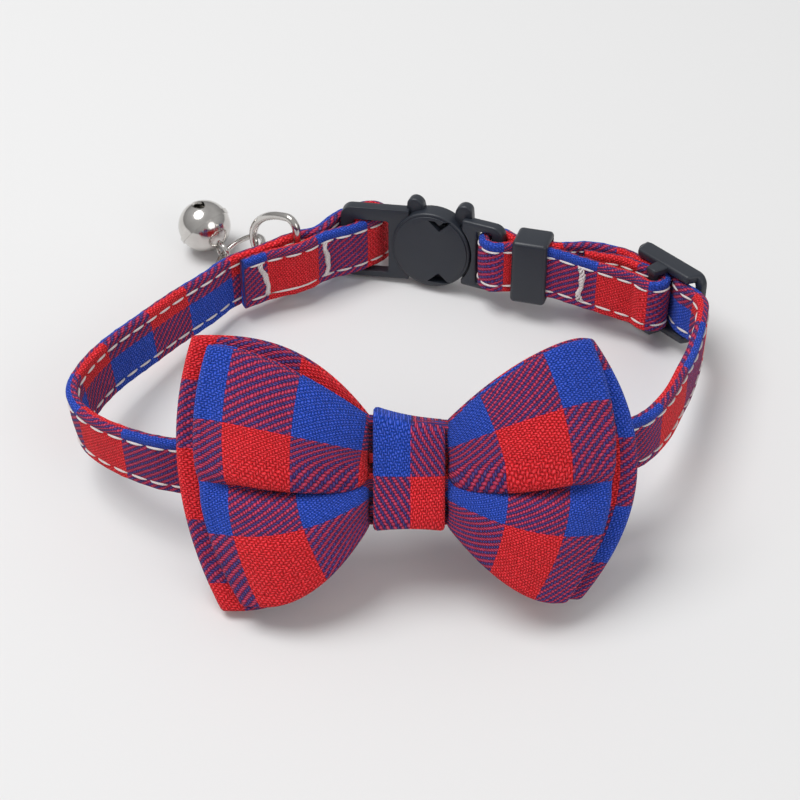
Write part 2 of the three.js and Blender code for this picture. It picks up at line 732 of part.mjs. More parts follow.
// A flat ring of cloth round the bow or the strap, drawn in y and z and as wide as its band
function bandRing(front, back, halfHeight, wall, width, waist, swell, squareness) {
  const middleY = -(front + back) / 2;
  const halfDeep = (front - back) / 2;
  const across = [-1, -0.5, 0, 0.5, 1];
  const around = 28;
  const grid = Array.from({ length: around }, (unused, i) => {
    const turn = (2 * Math.PI * i) / around;
    const squared = (value) => Math.sign(value) * Math.abs(value) ** squareness;
    return across.map((share) => {
      const pull = 1 - waist * (1 - share * share);
      const full = swell * (1 - share * share) * (Math.cos(turn) < 0 ? 1 : 0);
      return new THREE.Vector3(
        (share * width) / 2,
        middleY + squared(Math.cos(turn)) * (halfDeep - wall / 2 + full),
        squared(Math.sin(turn)) * (halfHeight - wall / 2) * pull,
      );
    });
  });
  return clothRing(grid, wall);
}

// Bell, with its hanger on +x, the mouth on -x and its seam round the middle
const hangerCentre = bellRadius + hangerRadius - hangerWire / 2 - hangerSeat;

function bellShell() {
  const arcSteps = 12;
  const profile = [];
  for (let i = 0; i <= arcSteps; i += 1) {
    const turn = Math.PI * (i / arcSteps);
    const band = Math.abs(i - arcSteps / 2) < 0.5 ? bellBand : 0;
    profile.push(new THREE.Vector2(Math.sin(turn) * (bellRadius + band), -Math.cos(turn) * bellRadius));
  }
  for (let i = arcSteps; i >= 0; i -= 1) {
    const turn = Math.PI * (i / arcSteps);
    const inside = bellRadius - bellWall;
    profile.push(new THREE.Vector2(Math.sin(turn) * inside, -Math.cos(turn) * inside));
  }
  profile[0].x = 0;
  profile[arcSteps].x = 0;
  profile[arcSteps + 1].x = 0;
  profile[2 * arcSteps + 1].x = 0;
  const shell = new THREE.LatheGeometry(profile, 24).rotateZ(-Math.PI / 2);
  const slot = new THREE.BoxGeometry(bellRadius, bellSlot, 2 * bellRadius * 0.72)
    .translate(-bellRadius * 1.02, 0, 0);
  const holes = [-1, 1].map((side) => new THREE.CylinderGeometry(bellHole, bellHole, bellRadius, 10)
    .rotateZ(Math.PI / 2)
    .translate(-bellRadius * 0.95, 0, side * bellRadius * 0.66));
  const loop = Array.from({ length: 14 }, (unused, i) => {
    const turn = (2 * Math.PI * i) / 14;
    return new THREE.Vector3(hangerCentre + hangerRadius * Math.cos(turn), 0, hangerRadius * Math.sin(turn));
  });
  const hanger = closedWire(loop, hangerWire / 2, 6);
  const cuts = [slot, ...holes].map(toManifold);
  const bored = cuts.reduce((left, cut) => left.subtract(cut), toManifold(shell));
  const core = toManifold(new THREE.IcosahedronGeometry(bellRadius - bellWall * 0.7, 2));
  return fromManifold(bored.add(toManifold(hanger).subtract(core)));
}

function named(name, geometry, material) {
  const mesh = new THREE.Mesh(geometry, material);
  mesh.name = name;
  return mesh;
}

// The collar in the frame of its loop
const loop = new THREE.Group();
loop.add(named('strap', strapSolid(), cloth));
loop.add(named('clasp_head', claspHead(), plastic));
loop.add(named('clasp_tongue', claspTongue(), plastic));
loop.add(named('keeper', keeperLoop(), plastic));
loop.add(named('slider', sliderBody(), plastic));

const bow = new THREE.Group();
bow.position.copy(routePoints.find((point) => point.bow === 1).place);
bow.rotation.x = -rad(bowLean);
bow.translateZ(bowRaise);
bow.add(named('bow_back', bowSheet(bowLobes.backLeft, bowLobes.backRight, 1, 0), cloth));
bow.add(named('bow_front', bowSheet(bowLobes.frontLeft, bowLobes.frontRight, 3, 2), cloth));
bow.add(named(
  'bow_knot',
  bandRing(knotFront + knotWall, knotBack, knotHalfHeight, knotWall, knotWidth, 0.04, 0.4, 0.26),
  cloth,
));
const band = named(
  'bow_band',
  bandRing(bandBack + bandWall, -bandBack - bandWall, strapHalf + gap + bandWall, bandWall, bandWidth, 0, 0, 0.2),
  elastic,
);
band.position.z = -bowRaise;
bow.add(band);
loop.add(bow);

const ringSeat = routeSeat(ringAt);
const ringPlace = ringSeat.at(0, 0).setZ(ringSeat.z - strapHalf - gap + ringInside / 2);
const ringWay = ringSeat.direction + Math.PI / 2 + rad(ringSwing);
const ring = new THREE.Group();
ring.position.copy(ringPlace);
ring.rotation.z = ringWay;
ring.add(named('d_ring', closedWire(ringLine(), ringWire / 2, 8), nickel));
loop.add(ring);

// The loop leans until the bow's feet and the clasp touch the ground together
function lowest(group, names) {
  const low = { y: 0, z: Infinity };
  const point = new THREE.Vector3();
  group.updateMatrixWorld(true);
  group.traverse((mesh) => {
    if (!mesh.isMesh || !names.includes(mesh.name)) return;
    const { position } = mesh.geometry.attributes;
    for (let i = 0; i < position.count; i += 1) {
      point.fromBufferAttribute(position, i).applyMatrix4(mesh.matrixWorld);
      if (point.z < low.z) Object.assign(low, { y: point.y, z: point.z });
    }
  });
  return low;
}

function settleLoop(group) {
  for (let round = 0; round < 8; round += 1) {
    const front = lowest(group, ['bow_back', 'bow_front']);
    const back = lowest(group, ['clasp_head', 'clasp_tongue']);
    group.rotation.x -= Math.atan2(back.z - front.z, back.y - front.y);
  }
  group.position.z = -lowest(group, ['bow_back', 'bow_front']).z;
}
settleLoop(loop);
loop.updateMatrixWorld(true);

// The jump ring hangs in the D ring, and the bell it carries lies on the ground
const inWorld = (point) => point.clone().applyMatrix4(loop.matrixWorld);
const linkRadius = (linkInside + linkWire) / 2;
const bellDirection = new THREE.Vector3(bellSide, -bellFront, -bellDip).normalize();
const turn = rad(linkTurn);
const linkRoom = linkEase * (ringWire / 2 + gap + linkWire / 2);
const linkReach = (ringDepth + ringWire / 2) * Math.sin(turn) - linkRoom;
const linkTop = inWorld(ringPlace.clone().add(new THREE.Vector3(
  linkReach * Math.cos(ringWay),
  linkReach * Math.sin(ringWay),
  ((ringInside + ringWire) / 2) * Math.cos(turn),
)));
const bellHeight = bellRadius;
const hangerDrop = bellDirection.clone().multiplyScalar(hangerCentre + hangerPlay);
const linkDrop = linkTop.z - bellHeight - hangerDrop.z;
const linkWay = new THREE.Vector3(Math.cos(rad(bellWay)), Math.sin(rad(bellWay)), 0);
const linkEnd = linkTop.clone()
  .addScaledVector(linkWay, Math.sqrt((2 * linkRadius * linkStretch) ** 2 - linkDrop ** 2));
linkEnd.z = bellHeight + hangerDrop.z;
const bellPlace = linkEnd.clone().sub(hangerDrop);

const chord = linkEnd.clone().sub(linkTop);
const chordLength = chord.length();
const chordWay = chord.clone().normalize();
const sag = new THREE.Vector3(-1, -1, -0.45);
sag.addScaledVector(chordWay, -sag.dot(chordWay)).normalize();
const linkCentre = linkTop.clone().addScaledVector(chord, 0.5)
  .addScaledVector(sag, Math.sqrt(linkRadius ** 2 - (chordLength / 2) ** 2));
const link = closedWire(Array.from({ length: 24 }, (unused, i) => {
  const angle = (2 * Math.PI * i) / 24;
  return linkCentre.clone()
    .addScaledVector(chordWay, linkRadius * Math.cos(angle))
    .addScaledVector(sag, linkRadius * Math.sin(angle));
}), linkWire / 2, 6);

const bell = new THREE.Group();
bell.position.copy(bellPlace);
const linkThread = chordWay.clone().cross(sag).cross(linkEnd.clone().sub(linkCentre));
const hangerFace = linkThread.addScaledVector(bellDirection, -linkThread.dot(bellDirection)).normalize();
const bellBase = new THREE.Matrix4()
  .makeBasis(bellDirection, hangerFace, bellDirection.clone().cross(hangerFace));
bell.quaternion.setFromRotationMatrix(bellBase);
bell.add(named('bell', bellShell(), nickel));
const pea = new THREE.IcosahedronGeometry(peaRadius, 1);
const peaDrop = bellRadius - bellWall - peaRadius - gap / 2;

const collar = new THREE.Group();
collar.add(loop);
collar.add(named('jump_ring', link, nickel));
collar.add(bell);
const peaMesh = named('bell_pea', pea, nickel);
peaMesh.position.copy(bellPlace).setZ(bellPlace.z - peaDrop);
collar.add(peaMesh);

// The origin is on the ground under the middle of the whole collar
const assembly = new THREE.Group();
assembly.add(collar);
assembly.updateMatrixWorld(true);
const whole = new THREE.Box3().setFromObject(collar, true);
collar.position.set(-(whole.min.x + whole.max.x) / 2, -(whole.min.y + whole.max.y) / 2, -whole.min.z);

export default assembly;
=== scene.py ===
# %% [markdown]
# A pet bow tie collar
# The collar is a narrow strap of folded plaid cotton, closed by a breakaway clasp, with a double
# bow in front and a small bell behind. The solids of the part are loaded first. They are the
# frame: every piece made below is placed from them, and nothing of them is moved.

# %% Load the frame
import math
from functools import partial
import bmesh
import bpy
import numpy as np
from mathutils import Matrix, Vector


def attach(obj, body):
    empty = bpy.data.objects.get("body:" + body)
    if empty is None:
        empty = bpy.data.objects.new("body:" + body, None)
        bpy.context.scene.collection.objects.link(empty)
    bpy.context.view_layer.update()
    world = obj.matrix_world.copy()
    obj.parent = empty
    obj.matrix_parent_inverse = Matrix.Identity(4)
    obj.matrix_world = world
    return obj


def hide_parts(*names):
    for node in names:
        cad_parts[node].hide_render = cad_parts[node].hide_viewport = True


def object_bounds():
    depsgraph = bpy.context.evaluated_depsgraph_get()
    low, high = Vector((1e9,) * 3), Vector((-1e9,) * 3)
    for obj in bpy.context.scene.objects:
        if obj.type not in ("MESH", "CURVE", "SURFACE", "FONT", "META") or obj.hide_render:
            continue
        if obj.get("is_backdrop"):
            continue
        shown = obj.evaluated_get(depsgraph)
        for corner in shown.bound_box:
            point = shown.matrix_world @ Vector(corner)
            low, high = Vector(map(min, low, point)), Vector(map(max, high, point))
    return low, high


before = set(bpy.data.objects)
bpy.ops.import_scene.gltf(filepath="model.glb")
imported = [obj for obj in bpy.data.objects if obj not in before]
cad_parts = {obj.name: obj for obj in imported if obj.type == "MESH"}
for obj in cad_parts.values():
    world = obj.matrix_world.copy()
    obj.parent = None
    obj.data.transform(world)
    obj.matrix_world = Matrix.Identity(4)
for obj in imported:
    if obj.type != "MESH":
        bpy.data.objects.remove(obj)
cad_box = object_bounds()
print("nodes:", sorted(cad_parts))

# %% [markdown]
# Where the loop lies
# The collar leans on the table, because the bow is taller than the strap. It is easiest to think
# of the strap in its own upright frame and to lean the result. The flat back of the clasp's head
# gives that lean: its normal is known in the upright frame, so the turn between the two is found
# from one face.

# %% Find the lean of the loop
LOOP_WIDTH = 104
LOOP_DEPTH = 62
HEAD_RADIUS = 7.5
HEAD_THICK = 4
HEAD_LIFT = 1.05
HEAD_X = 6
CLASP_TURN = math.radians(-18)


def flat_face(node, towards):
    """Middle and normal of the largest flat face of a node that looks towards a direction."""
    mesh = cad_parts[node].data
    faces = {}
    for polygon in mesh.polygons:
        if polygon.normal.dot(towards) < 0.7:
            continue
        key = tuple(round(value, 2) for value in polygon.normal)
        key += (round(polygon.normal.dot(polygon.center), 4),)
        faces.setdefault(key, []).append(polygon)
    largest = max(faces.values(), key=lambda face: sum(polygon.area for polygon in face))
    normal = sum((polygon.normal * polygon.area for polygon in largest), Vector()).normalized()
    first = normal.orthogonal().normalized()
    second = normal.cross(first)
    corners = [mesh.vertices[index].co for polygon in largest for index in polygon.vertices]
    centre = normal * normal.dot(largest[0].center)
    for way in (first, second):
        reach = [corner.dot(way) for corner in corners]
        centre += way * (min(reach) + max(reach)) / 2
    return centre, normal


def seat(x, y, z, direction):
    """A place on the strap's route, with its direction along the strap and out from the neck."""
    along = np.array([math.cos(direction), math.sin(direction), 0])
    out = np.array([-along[1], along[0], 0])
    origin = np.array([x, y, z], float)
    return {"along": along, "out": out, "direction": direction, "origin": origin}


def at(place, a, o, up=0):
    """A point so far along, out and up from a place."""
    return place["origin"] + a * place["along"] + o * place["out"] + np.array([0, 0, up])


head = seat(HEAD_X, LOOP_DEPTH, HEAD_RADIUS + HEAD_LIFT, CLASP_TURN)
face_centre, face_normal = flat_face("clasp_head", Vector((0, -1, 0)))
lean = math.atan2(-face_normal.z, -face_normal.y)
turn = Matrix.Rotation(lean, 4, "X")
TO_METRES = Matrix.Scale(0.001, 4)
start = face_centre * 1000 - turn @ Vector(at(head, 0, -HEAD_THICK / 2))
LOOP = TO_METRES @ Matrix.Translation(start) @ turn
loop_array = np.array(LOOP)
print("the loop leans", round(math.degrees(lean), 2), "degrees")


def to_world(points):
    """Millimetres in the upright frame of the loop to metres where the collar lies."""
    points = np.asarray(points, float)
    return points @ loop_array[:3, :3].T + loop_array[:3, 3]


# %% [markdown]
# The camera
# The photograph looks down at the loop from the front. A long lens from a little under 30 cm
# gives the same narrowing of the strap towards the back. The camera is set in the frame of the
# loop, because the loop's plane is what the picture shows best.

# %% Place the camera
VIEW_RISE = math.radians(35)
VIEW_REACH = 280
VIEW_TARGET = np.array([0, 18.2, 5])
FOCAL_PIXELS = 1722
PICTURE = 800
SENSOR = 36

back = np.array([0, -math.cos(VIEW_RISE), math.sin(VIEW_RISE)])
up = np.array([0, math.sin(VIEW_RISE), math.cos(VIEW_RISE)])
eye = VIEW_TARGET + VIEW_REACH * back
axes = np.eye(4)
axes[:3, 0] = (1, 0, 0)
axes[:3, 1] = up
axes[:3, 2] = back
camera_data = bpy.data.cameras.new("camera")
camera_data.sensor_width = SENSOR
camera_data.lens = SENSOR * FOCAL_PIXELS / PICTURE
camera_data.clip_start = 0.01
camera = bpy.data.objects.new("camera", camera_data)
bpy.context.scene.collection.objects.link(camera)
camera.matrix_world = Matrix.Translation(Vector(to_world(eye))) @ turn @ Matrix(axes)
bpy.context.scene.camera = camera
print("camera at", [round(value, 3) for value in camera.location])

# %% [markdown]
# Helpers for cloth meshes
# Cloth could be a plane with a Solidify modifier, but its edges would be square and its weave would
# stretch at the folds. Here it is a grid of points that already has its thickness and its round
# edges: one way the grid runs round the section, the other way along the length. Each grid carries
# its own UV map, measured in stripes of the check, so the weave follows the cloth round every fold.

# %% Mesh helpers
ROOT = "root"


def link_mesh(name, vertices, faces):
    mesh = bpy.data.meshes.new(name)
    mesh.from_pydata([tuple(v) for v in vertices], [], [tuple(f) for f in faces])
    mesh.update()
    made = bpy.data.objects.new(name, mesh)
    bpy.context.scene.collection.objects.link(made)
    return made


def volume(vertices, faces):
    """The volume inside closed faces, negative when they point inwards."""
    quads = vertices[np.asarray(faces)]
    a, b, c, d = (quads[:, k] for k in range(4))
    first = np.einsum("ij,ij->i", a, np.cross(b, c))
    second = np.einsum("ij,ij->i", a, np.cross(c, d))
    return (first + second).sum() / 6


def sheet_mesh(name, rings, cloth_uv, uv_end=None):
    """A sheet from rings[station][point]. It closes on itself where uv_end says how its cloth ends.
    cloth_uv[station][point] holds the UV before and after the point, so that seams stay sharp."""
    stations, count = rings.shape[:2]
    vertices = to_world(rings.reshape(-1, 3))
    closed = uv_end is not None
    next_uv = np.concatenate([cloth_uv[1:], [uv_end if closed else cloth_uv[-1]]])
    faces, corners = [], []
    for i in range(stations if closed else stations - 1):
        j = (i + 1) % stations
        here, there = cloth_uv[i], next_uv[i]
        for k in range(count):
            n = (k + 1) % count
            faces.append((i * count + k, j * count + k, j * count + n, i * count + n))
            corners.append((here[k][1], there[k][1], there[n][0], here[n][0]))
    flip = volume(vertices, faces) < 0
    if flip:
        faces = [face[::-1] for face in faces]
        corners = [corner[::-1] for corner in corners]
    made = link_mesh(name, vertices, faces)
    write_uv(made, corners)
    if not closed:
        close_ends(made, stations, count, cloth_uv, flip)
    made.data.shade_smooth()
    return made


def write_uv(made, corners):
    layer = made.data.uv_layers.new(name="cloth")
    layer.data.foreach_set("uv", np.array(corners, float).reshape(-1))


def close_ends(made, stations, count, cloth_uv, flip):
    """Closes each end of an open sheet with one face that points outwards."""
    mesh = bmesh.new()
    mesh.from_mesh(made.data)
    mesh.verts.ensure_lookup_table()
    layer = mesh.loops.layers.uv["cloth"]
    for station in (0, stations - 1):
        ring = [mesh.verts[station * count + k] for k in range(count)]
        if (station == 0) != flip:
            ring.reverse()
        face = mesh.faces.new(ring)
        for corner in face.loops:
            corner[layer].uv = cloth_uv[station][corner.vert.index % count][0]
    mesh.to_mesh(made.data)
    mesh.free()


def finish_piece(made, material, slot, *nodes):
    """Gives a piece its material and its body, and hides the nodes that it stands for. The slot is not
    used.
    """
    made.data.materials.clear()
    made.data.materials.append(material)
    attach(made, ROOT)
    if nodes:
        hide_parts(*nodes)
    print(made.name, len(made.data.polygons), "faces")
    return made


# %% [markdown]
# Helpers for materials
# A procedural finish is a chain of small sums between shader nodes. Wiring each one by hand takes
# many lines, so one helper makes a sum, one mixes two colours, and others make the noise and the
# bump that nearly every finish here uses. Single values go straight on the shader's sockets.

# %% Material helpers
def maths(tree, operation, *inputs):
    """One sum. Its inputs are numbers or the outputs of other nodes."""
    node = tree.nodes.new("ShaderNodeMath")
    node.operation = operation
    for socket, value in zip(node.inputs, inputs):
        if isinstance(value, (int, float)):
            socket.default_value = value
        else:
            tree.links.new(value, socket)
    return node.outputs[0]


def mix_colours(tree, factor, first, second):
    node = tree.nodes.new("ShaderNodeMix")
    node.data_type = "RGBA"
    for name, value in (("Factor_Float", factor), ("A_Color", first), ("B_Color", second)):
        socket = next(item for item in node.inputs if item.identifier == name)
        if isinstance(value, tuple):
            socket.default_value = (*value, 1)
        else:
            tree.links.new(value, socket)
    return next(item for item in node.outputs if item.identifier == "Result_Color")


def new_material(name, values):
    """A new material whose single values are set on the shader's own sockets."""
    material = bpy.data.materials.new(name)
    material.use_nodes = True
    tree = material.node_tree
    shader = tree.nodes["Principled BSDF"]
    for socket, value in values.items():
        shader.inputs[socket].default_value = value
    return material, tree, shader


def cloth_place(tree):
    """The place on the cloth, from the piece's own UV map."""
    uv_map = tree.nodes.new("ShaderNodeUVMap")
    uv_map.uv_map = "cloth"
    return uv_map.outputs[0]


def noise_texture(tree, scale, detail=2):
    coordinates = tree.nodes.new("ShaderNodeTexCoord")
    noise = tree.nodes.new("ShaderNodeTexNoise")
    noise.inputs["Scale"].default_value = scale
    noise.inputs["Detail"].default_value = detail
    tree.links.new(coordinates.outputs["Object"], noise.inputs["Vector"])
    return noise.outputs[0]


def add_bump(tree, height, strength, distance):
    bump = tree.nodes.new("ShaderNodeBump")
    bump.inputs["Strength"].default_value = strength
    bump.inputs["Distance"].default_value = distance
    tree.links.new(height, bump.inputs["Height"])
    tree.links.new(bump.outputs[0], tree.nodes["Principled BSDF"].inputs["Normal"])


# %% [markdown]
# Warp and weft both change colour every stripe, so squares come out red, blue, or mixed where one
# set is red and the other blue. A photo of cloth would blur close up, and a painted check would
# miss the slanted twill lines. So the material works it out thread by thread: which thread is on
# top here and what colour it has. Light and shade are painted into that colour too: painted shade
# darkens each thread where it dips into the weave, and a painted highlight lightens its crown.

# %% Weave the plaid
WARP_THREADS = 24
WEFT_THREADS = 34
TWILL_CYCLE = 4
THREAD_WOBBLE = 1.5
WOBBLE_SCALE = 1300
FUZZ_SCALE = 2200
FUZZ = 0.45
# Weight of the painted shade that darkens each thread towards its sides and the ends of its float.
PAINTED_GAP_SHADE = 1.25
THREAD_TONES = 0.22
SHADE_DROP = 0.16
RED = (0.70, 0.012, 0.018)
BLUE = (0.010, 0.060, 0.45)
MIXED_RED = (0.42, 0.022, 0.075)
MIXED_BLUE = (0.048, 0.022, 0.150)
# A pale colour mixed onto the crown of each thread as a painted highlight.
CROWN_HIGHLIGHT = (0.80, 0.62, 0.78)


def plaid_material(name):
    material, tree, shader = new_material(name, {
        "Roughness": 0.88, "Specular IOR Level": 0.16, "Sheen Weight": 0.05, "Sheen Roughness": 0.5})
    add, less, times, wrap, below, whole, rest = (partial(maths, tree, operation) for operation in (
        "ADD", "SUBTRACT", "MULTIPLY", "FLOORED_MODULO", "LESS_THAN", "FLOOR", "FRACT"))
    split = tree.nodes.new("ShaderNodeSeparateXYZ")
    tree.links.new(cloth_place(tree), split.inputs[0])
    u, v = split.outputs[0], split.outputs[1]
    sway = times(less(noise_texture(tree, WOBBLE_SCALE), 0.5), THREAD_WOBBLE)
    warp = add(times(u, WARP_THREADS), sway)
    weft = add(times(v, WEFT_THREADS), sway)
    i, j = whole(warp), whole(weft)
    over = below(wrap(less(i, j), TWILL_CYCLE), 1.5)
    under = less(1, over)

    def choose(when_over, when_under):
        return add(times(over, when_over), times(under, when_under))

    def round_back(place):
        """1 on the middle of a thread's back, falling to 0 at a place of 1 or -1."""
        return less(1, times(place, place))

    along = choose(less(wrap(add(less(i, weft), 1), TWILL_CYCLE), 1),
                   less(wrap(less(warp, j), TWILL_CYCLE), 3))
    across = choose(times(less(rest(warp), 0.5), 2), times(less(rest(weft), 0.5), 2))
    height = add(times(round_back(along), 0.55), times(round_back(across), 0.45))

    red_warp, red_weft = (below(wrap(count, 2), 1) for count in (u, v))
    red = choose(red_warp, red_weft)
    mixed = maths(tree, "ABSOLUTE", less(red_warp, red_weft))
    plain = mix_colours(tree, red, BLUE, RED)
    blended = mix_colours(tree, red, MIXED_BLUE, MIXED_RED)
    dye_and_highlight = mix_colours(tree, mixed, plain, blended)
    # Painted highlight: the top of each thread's round back is mixed towards a pale colour.
    crown = times(maths(tree, "POWER", height, 7), 0.07)
    dye_and_highlight = mix_colours(tree, crown, dye_and_highlight, CROWN_HIGHLIGHT)

    own = tree.nodes.new("ShaderNodeTexWhiteNoise")
    own.noise_dimensions = "1D"
    tree.links.new(choose(i, add(j, 0.5)), own.inputs["W"])
    fuzz = noise_texture(tree, FUZZ_SCALE)
    # Painted shade: the colour is scaled down where a thread dips into the weave, together with random
    # tone from the fuzz noise and from each thread's own tone.
    shade = add(add(times(height, PAINTED_GAP_SHADE), times(fuzz, FUZZ)),
                times(own.outputs["Value"], THREAD_TONES))
    shaded_and_toned = tree.nodes.new("ShaderNodeVectorMath")
    shaded_and_toned.operation = "SCALE"
    tree.links.new(dye_and_highlight, shaded_and_toned.inputs[0])
    tree.links.new(less(shade, SHADE_DROP), shaded_and_toned.inputs["Scale"])
    tree.links.new(shaded_and_toned.outputs[0], shader.inputs["Base Color"])
    add_bump(tree, height, 0.9, 0.00028)
    return material


plaid = plaid_material("plaid_twill")
print("plaid nodes:", len(plaid.node_tree.nodes))

# %% [markdown]
# The strap's route
# The strap is one folded strip of the plaid, 10 mm wide. Its left end is folded round the bar of
# the clasp and sewn down as a tab, it runs round the neck behind the bow, over the slider, through
# the keeper and round the other bar of the clasp, and back to the slider, where it is sewn. A few
# chosen points in plan give the run, and a smooth line through them gives every place between.

# %% Place the hardware along the loop
GAP = 0.3
STRAP_HALF = 5
STRAP_THICK = 1.9
BACK_RISE = 2.9
ARM_BEND = math.radians(9)
LEFT_ARM = 8.4
RIGHT_ARM = 5.4
BAR_INSET = 0.6
BAR_RADIUS = 1.1
KEEPER_LENGTH = 6.4
KEEPER_LIFT = 0.2
KEEPER_FROM_BAR = 3.1
KEEPER_TURN = math.radians(-17)
KEEPER_SWING = math.radians(4)
SLIDER_HALF = 8.1
SLIDER_BAR = 1.8
SLIDER_CORE = 0.9
SLIDER_HUMP = 2
SLIDER_PLACE = (46, 48)
SLIDER_LIFT = 1.6
SLIDER_TURN = math.radians(-54)

head_height = HEAD_RADIUS + HEAD_LIFT
tab_height = STRAP_HALF + BACK_RISE
keeper_height = head_height + KEEPER_LIFT
left_frame = seat(*at(head, -HEAD_RADIUS, 0)[:2], head_height, CLASP_TURN + ARM_BEND)
right_frame = seat(*at(head, HEAD_RADIUS, 0)[:2], head_height, CLASP_TURN - ARM_BEND)
left_bar = at(left_frame, -LEFT_ARM, -BAR_INSET)
right_bar = at(right_frame, RIGHT_ARM, -BAR_INSET)
bar_end = seat(*right_bar[:2], keeper_height, KEEPER_TURN - KEEPER_SWING)
keeper = seat(*at(bar_end, KEEPER_FROM_BAR + KEEPER_LENGTH / 2, 0)[:2], keeper_height, KEEPER_TURN)
slider = seat(*SLIDER_PLACE, STRAP_HALF + SLIDER_LIFT, SLIDER_TURN)
print("the slider's middle is at", slider["origin"], "mm")

# %% Draw the route in plan
BOW_LEAN = math.radians(25)
SIDE_LEAN = math.radians(7)
BOW_SHARE = {"bow": -0.8 * BOW_LEAN, "knot": -BOW_LEAN}
ROUTE_COLUMNS = ("across", "deep", "lean", "rise")
ROUTE = (
    (-0.133, 0.988, 0, 0.95), (-0.180, 0.942, 0, 0.8), (-0.238, 0.893, 0.1, 0.6),
    (-0.290, 0.841, 0.5, 0.4), (-0.360, 0.722, 1, 0.1), (-0.420, 0.580, 1, 0),
    (-0.462, 0.467, 1, 0), (-0.490, 0.354, 1, 0), (-0.500, 0.248, 1, 0),
    (-0.483, 0.170, 1, 0), (-0.448, 0.108, 0.9, 0), (-0.403, 0.058, 0.5, 0),
    (-0.341, 0.013, 0, 0), (-0.173, -0.007, "bow", 0), (0.012, 0, "knot", 0),
    (0.192, 0.030, "bow", 0), (0.352, 0.102, 0, 0), (0.400, 0.192, 0, 0),
    (0.440, 0.330, 0, 0), (0.468, 0.446, 0, 0),
)


def spans_through(points):
    """The cubic of each span of a smooth line through chosen points."""
    points = np.array(points, float)
    padded = np.vstack([2 * points[0] - points[1], points, 2 * points[-1] - points[-2]])
    steps = np.sum(np.diff(padded, axis=0) ** 2, axis=1)[:, None] ** 0.25
    before, here, there, after = padded[:-3], padded[1:-2], padded[2:-1], padded[3:]
    first, second, third = steps[:-2], steps[1:-1], steps[2:]
    leave = (here - before) / first - (there - before) / (first + second) + (there - here) / second
    reach = (there - here) / second - (after - here) / (second + third) + (after - there) / third
    leave, reach = leave * second, reach * second
    return here, leave, 3 * (there - here) - 2 * leave - reach, 2 * (here - there) + leave + reach


def along_line(spans, share):
    """Place and direction at a share of the spans, from 0 at the first point to 1 at the last."""
    scaled = np.clip(np.asarray(share, float), 0, 1) * len(spans[0])
    i = np.minimum(scaled.astype(int), len(spans[0]) - 1)
    t = (scaled - i)[..., None]
    c0, c1, c2, c3 = (part[i] for part in spans)
    return c0 + t * (c1 + t * (c2 + t * c3)), c1 + t * (2 * c2 + 3 * t * c3)


def smooth(share):
    t = np.clip(share, 0, 1)
    return t * t * (3 - 2 * t)


def grown_lengths(places):
    """The length of a line of places from its start up to each place."""
    steps = np.linalg.norm(np.diff(places, axis=0), axis=1)
    return np.concatenate([[0], np.cumsum(steps)])


route_rows = [dict(zip(ROUTE_COLUMNS, row)) for row in ROUTE]
route_places = [np.array([*left_bar[:2], tab_height])]
route_leans = [0]
for row in route_rows:
    height = STRAP_HALF + row["rise"] * BACK_RISE
    route_places.append(np.array([row["across"] * LOOP_WIDTH, row["deep"] * LOOP_DEPTH, height]))
    tilt = row["lean"]
    route_leans.append(BOW_SHARE[tilt] if tilt in BOW_SHARE else tilt * SIDE_LEAN)
    if tilt == "knot":
        bow_place = route_places[-1]
route_places += [at(slider, SLIDER_HALF + 3, -1.2), at(slider, SLIDER_HALF, 0)]
route_leans += [0, 0]
route_spans = spans_through(route_places)
fine_shares = np.linspace(0, 1, 6001)
fine_lengths = grown_lengths(along_line(route_spans, fine_shares)[0])
route_length = fine_lengths[-1]
print("the run from the clasp to the slider is", round(route_length, 1), "mm")


def route_seat(distance):
    """The strap's seat and lean at a distance along the run from the clasp's left bar."""
    share = float(np.interp(distance, fine_lengths, fine_shares))
    place, direction = along_line(route_spans, share)
    scaled = share * (len(route_places) - 1)
    i = min(int(scaled), len(route_places) - 2)
    tilt = route_leans[i] + (route_leans[i + 1] - route_leans[i]) * smooth(scaled - i)
    return seat(*place, math.atan2(-direction[1], -direction[0])), tilt


# %% [markdown]
# The layers of the strip
# The strip runs through the same stretch up to three times: the tab on the left lies behind the
# strap, and on the right it goes through the keeper, round the clasp's bar and back to the slider.
# Each pass stands a little out or in from the route, and half turns join the passes at the bars. A
# second smooth line through all these places is the strip itself, with its real length.

# %% Lay the strip along it
LEFT_SLACK = 5.2
BAR_SLACK = 0.35
INNER_TACK = 6.4
RING_AT = 11.2
OUTER_TACK = 18.6
TAB_LENGTH = 22.6
TAB_BLEND = 8
RING_WIRE = 1.5
OUTER_BULGE = 1.3
layer_step = STRAP_THICK + GAP
bar_spread = BAR_RADIUS + BAR_SLACK + GAP + STRAP_THICK / 2
flat_spread = layer_step / 2
ring_spread = RING_WIRE / 2 + GAP + STRAP_THICK / 2
core_wrap = SLIDER_CORE + GAP + STRAP_THICK / 2
core_out = SLIDER_HUMP - core_wrap - layer_step
SPREAD = (
    (0, bar_spread), (INNER_TACK, flat_spread), (RING_AT, ring_spread), (OUTER_TACK, flat_spread),
    (TAB_LENGTH, flat_spread), (TAB_LENGTH + TAB_BLEND, 0),
)


def spread_at(distance):
    for (near, low), (far, high) in zip(SPREAD, SPREAD[1:]):
        if distance <= far:
            return low + (high - low) * smooth((distance - near) / (far - near))
    return 0


def bend(place, turn_from, turn_to, steps):
    turns = [turn_from + (turn_to - turn_from) * (k + 0.5) / steps for k in range(steps)]
    return [(place(math.cos(turn), math.sin(turn)), 0) for turn in turns]


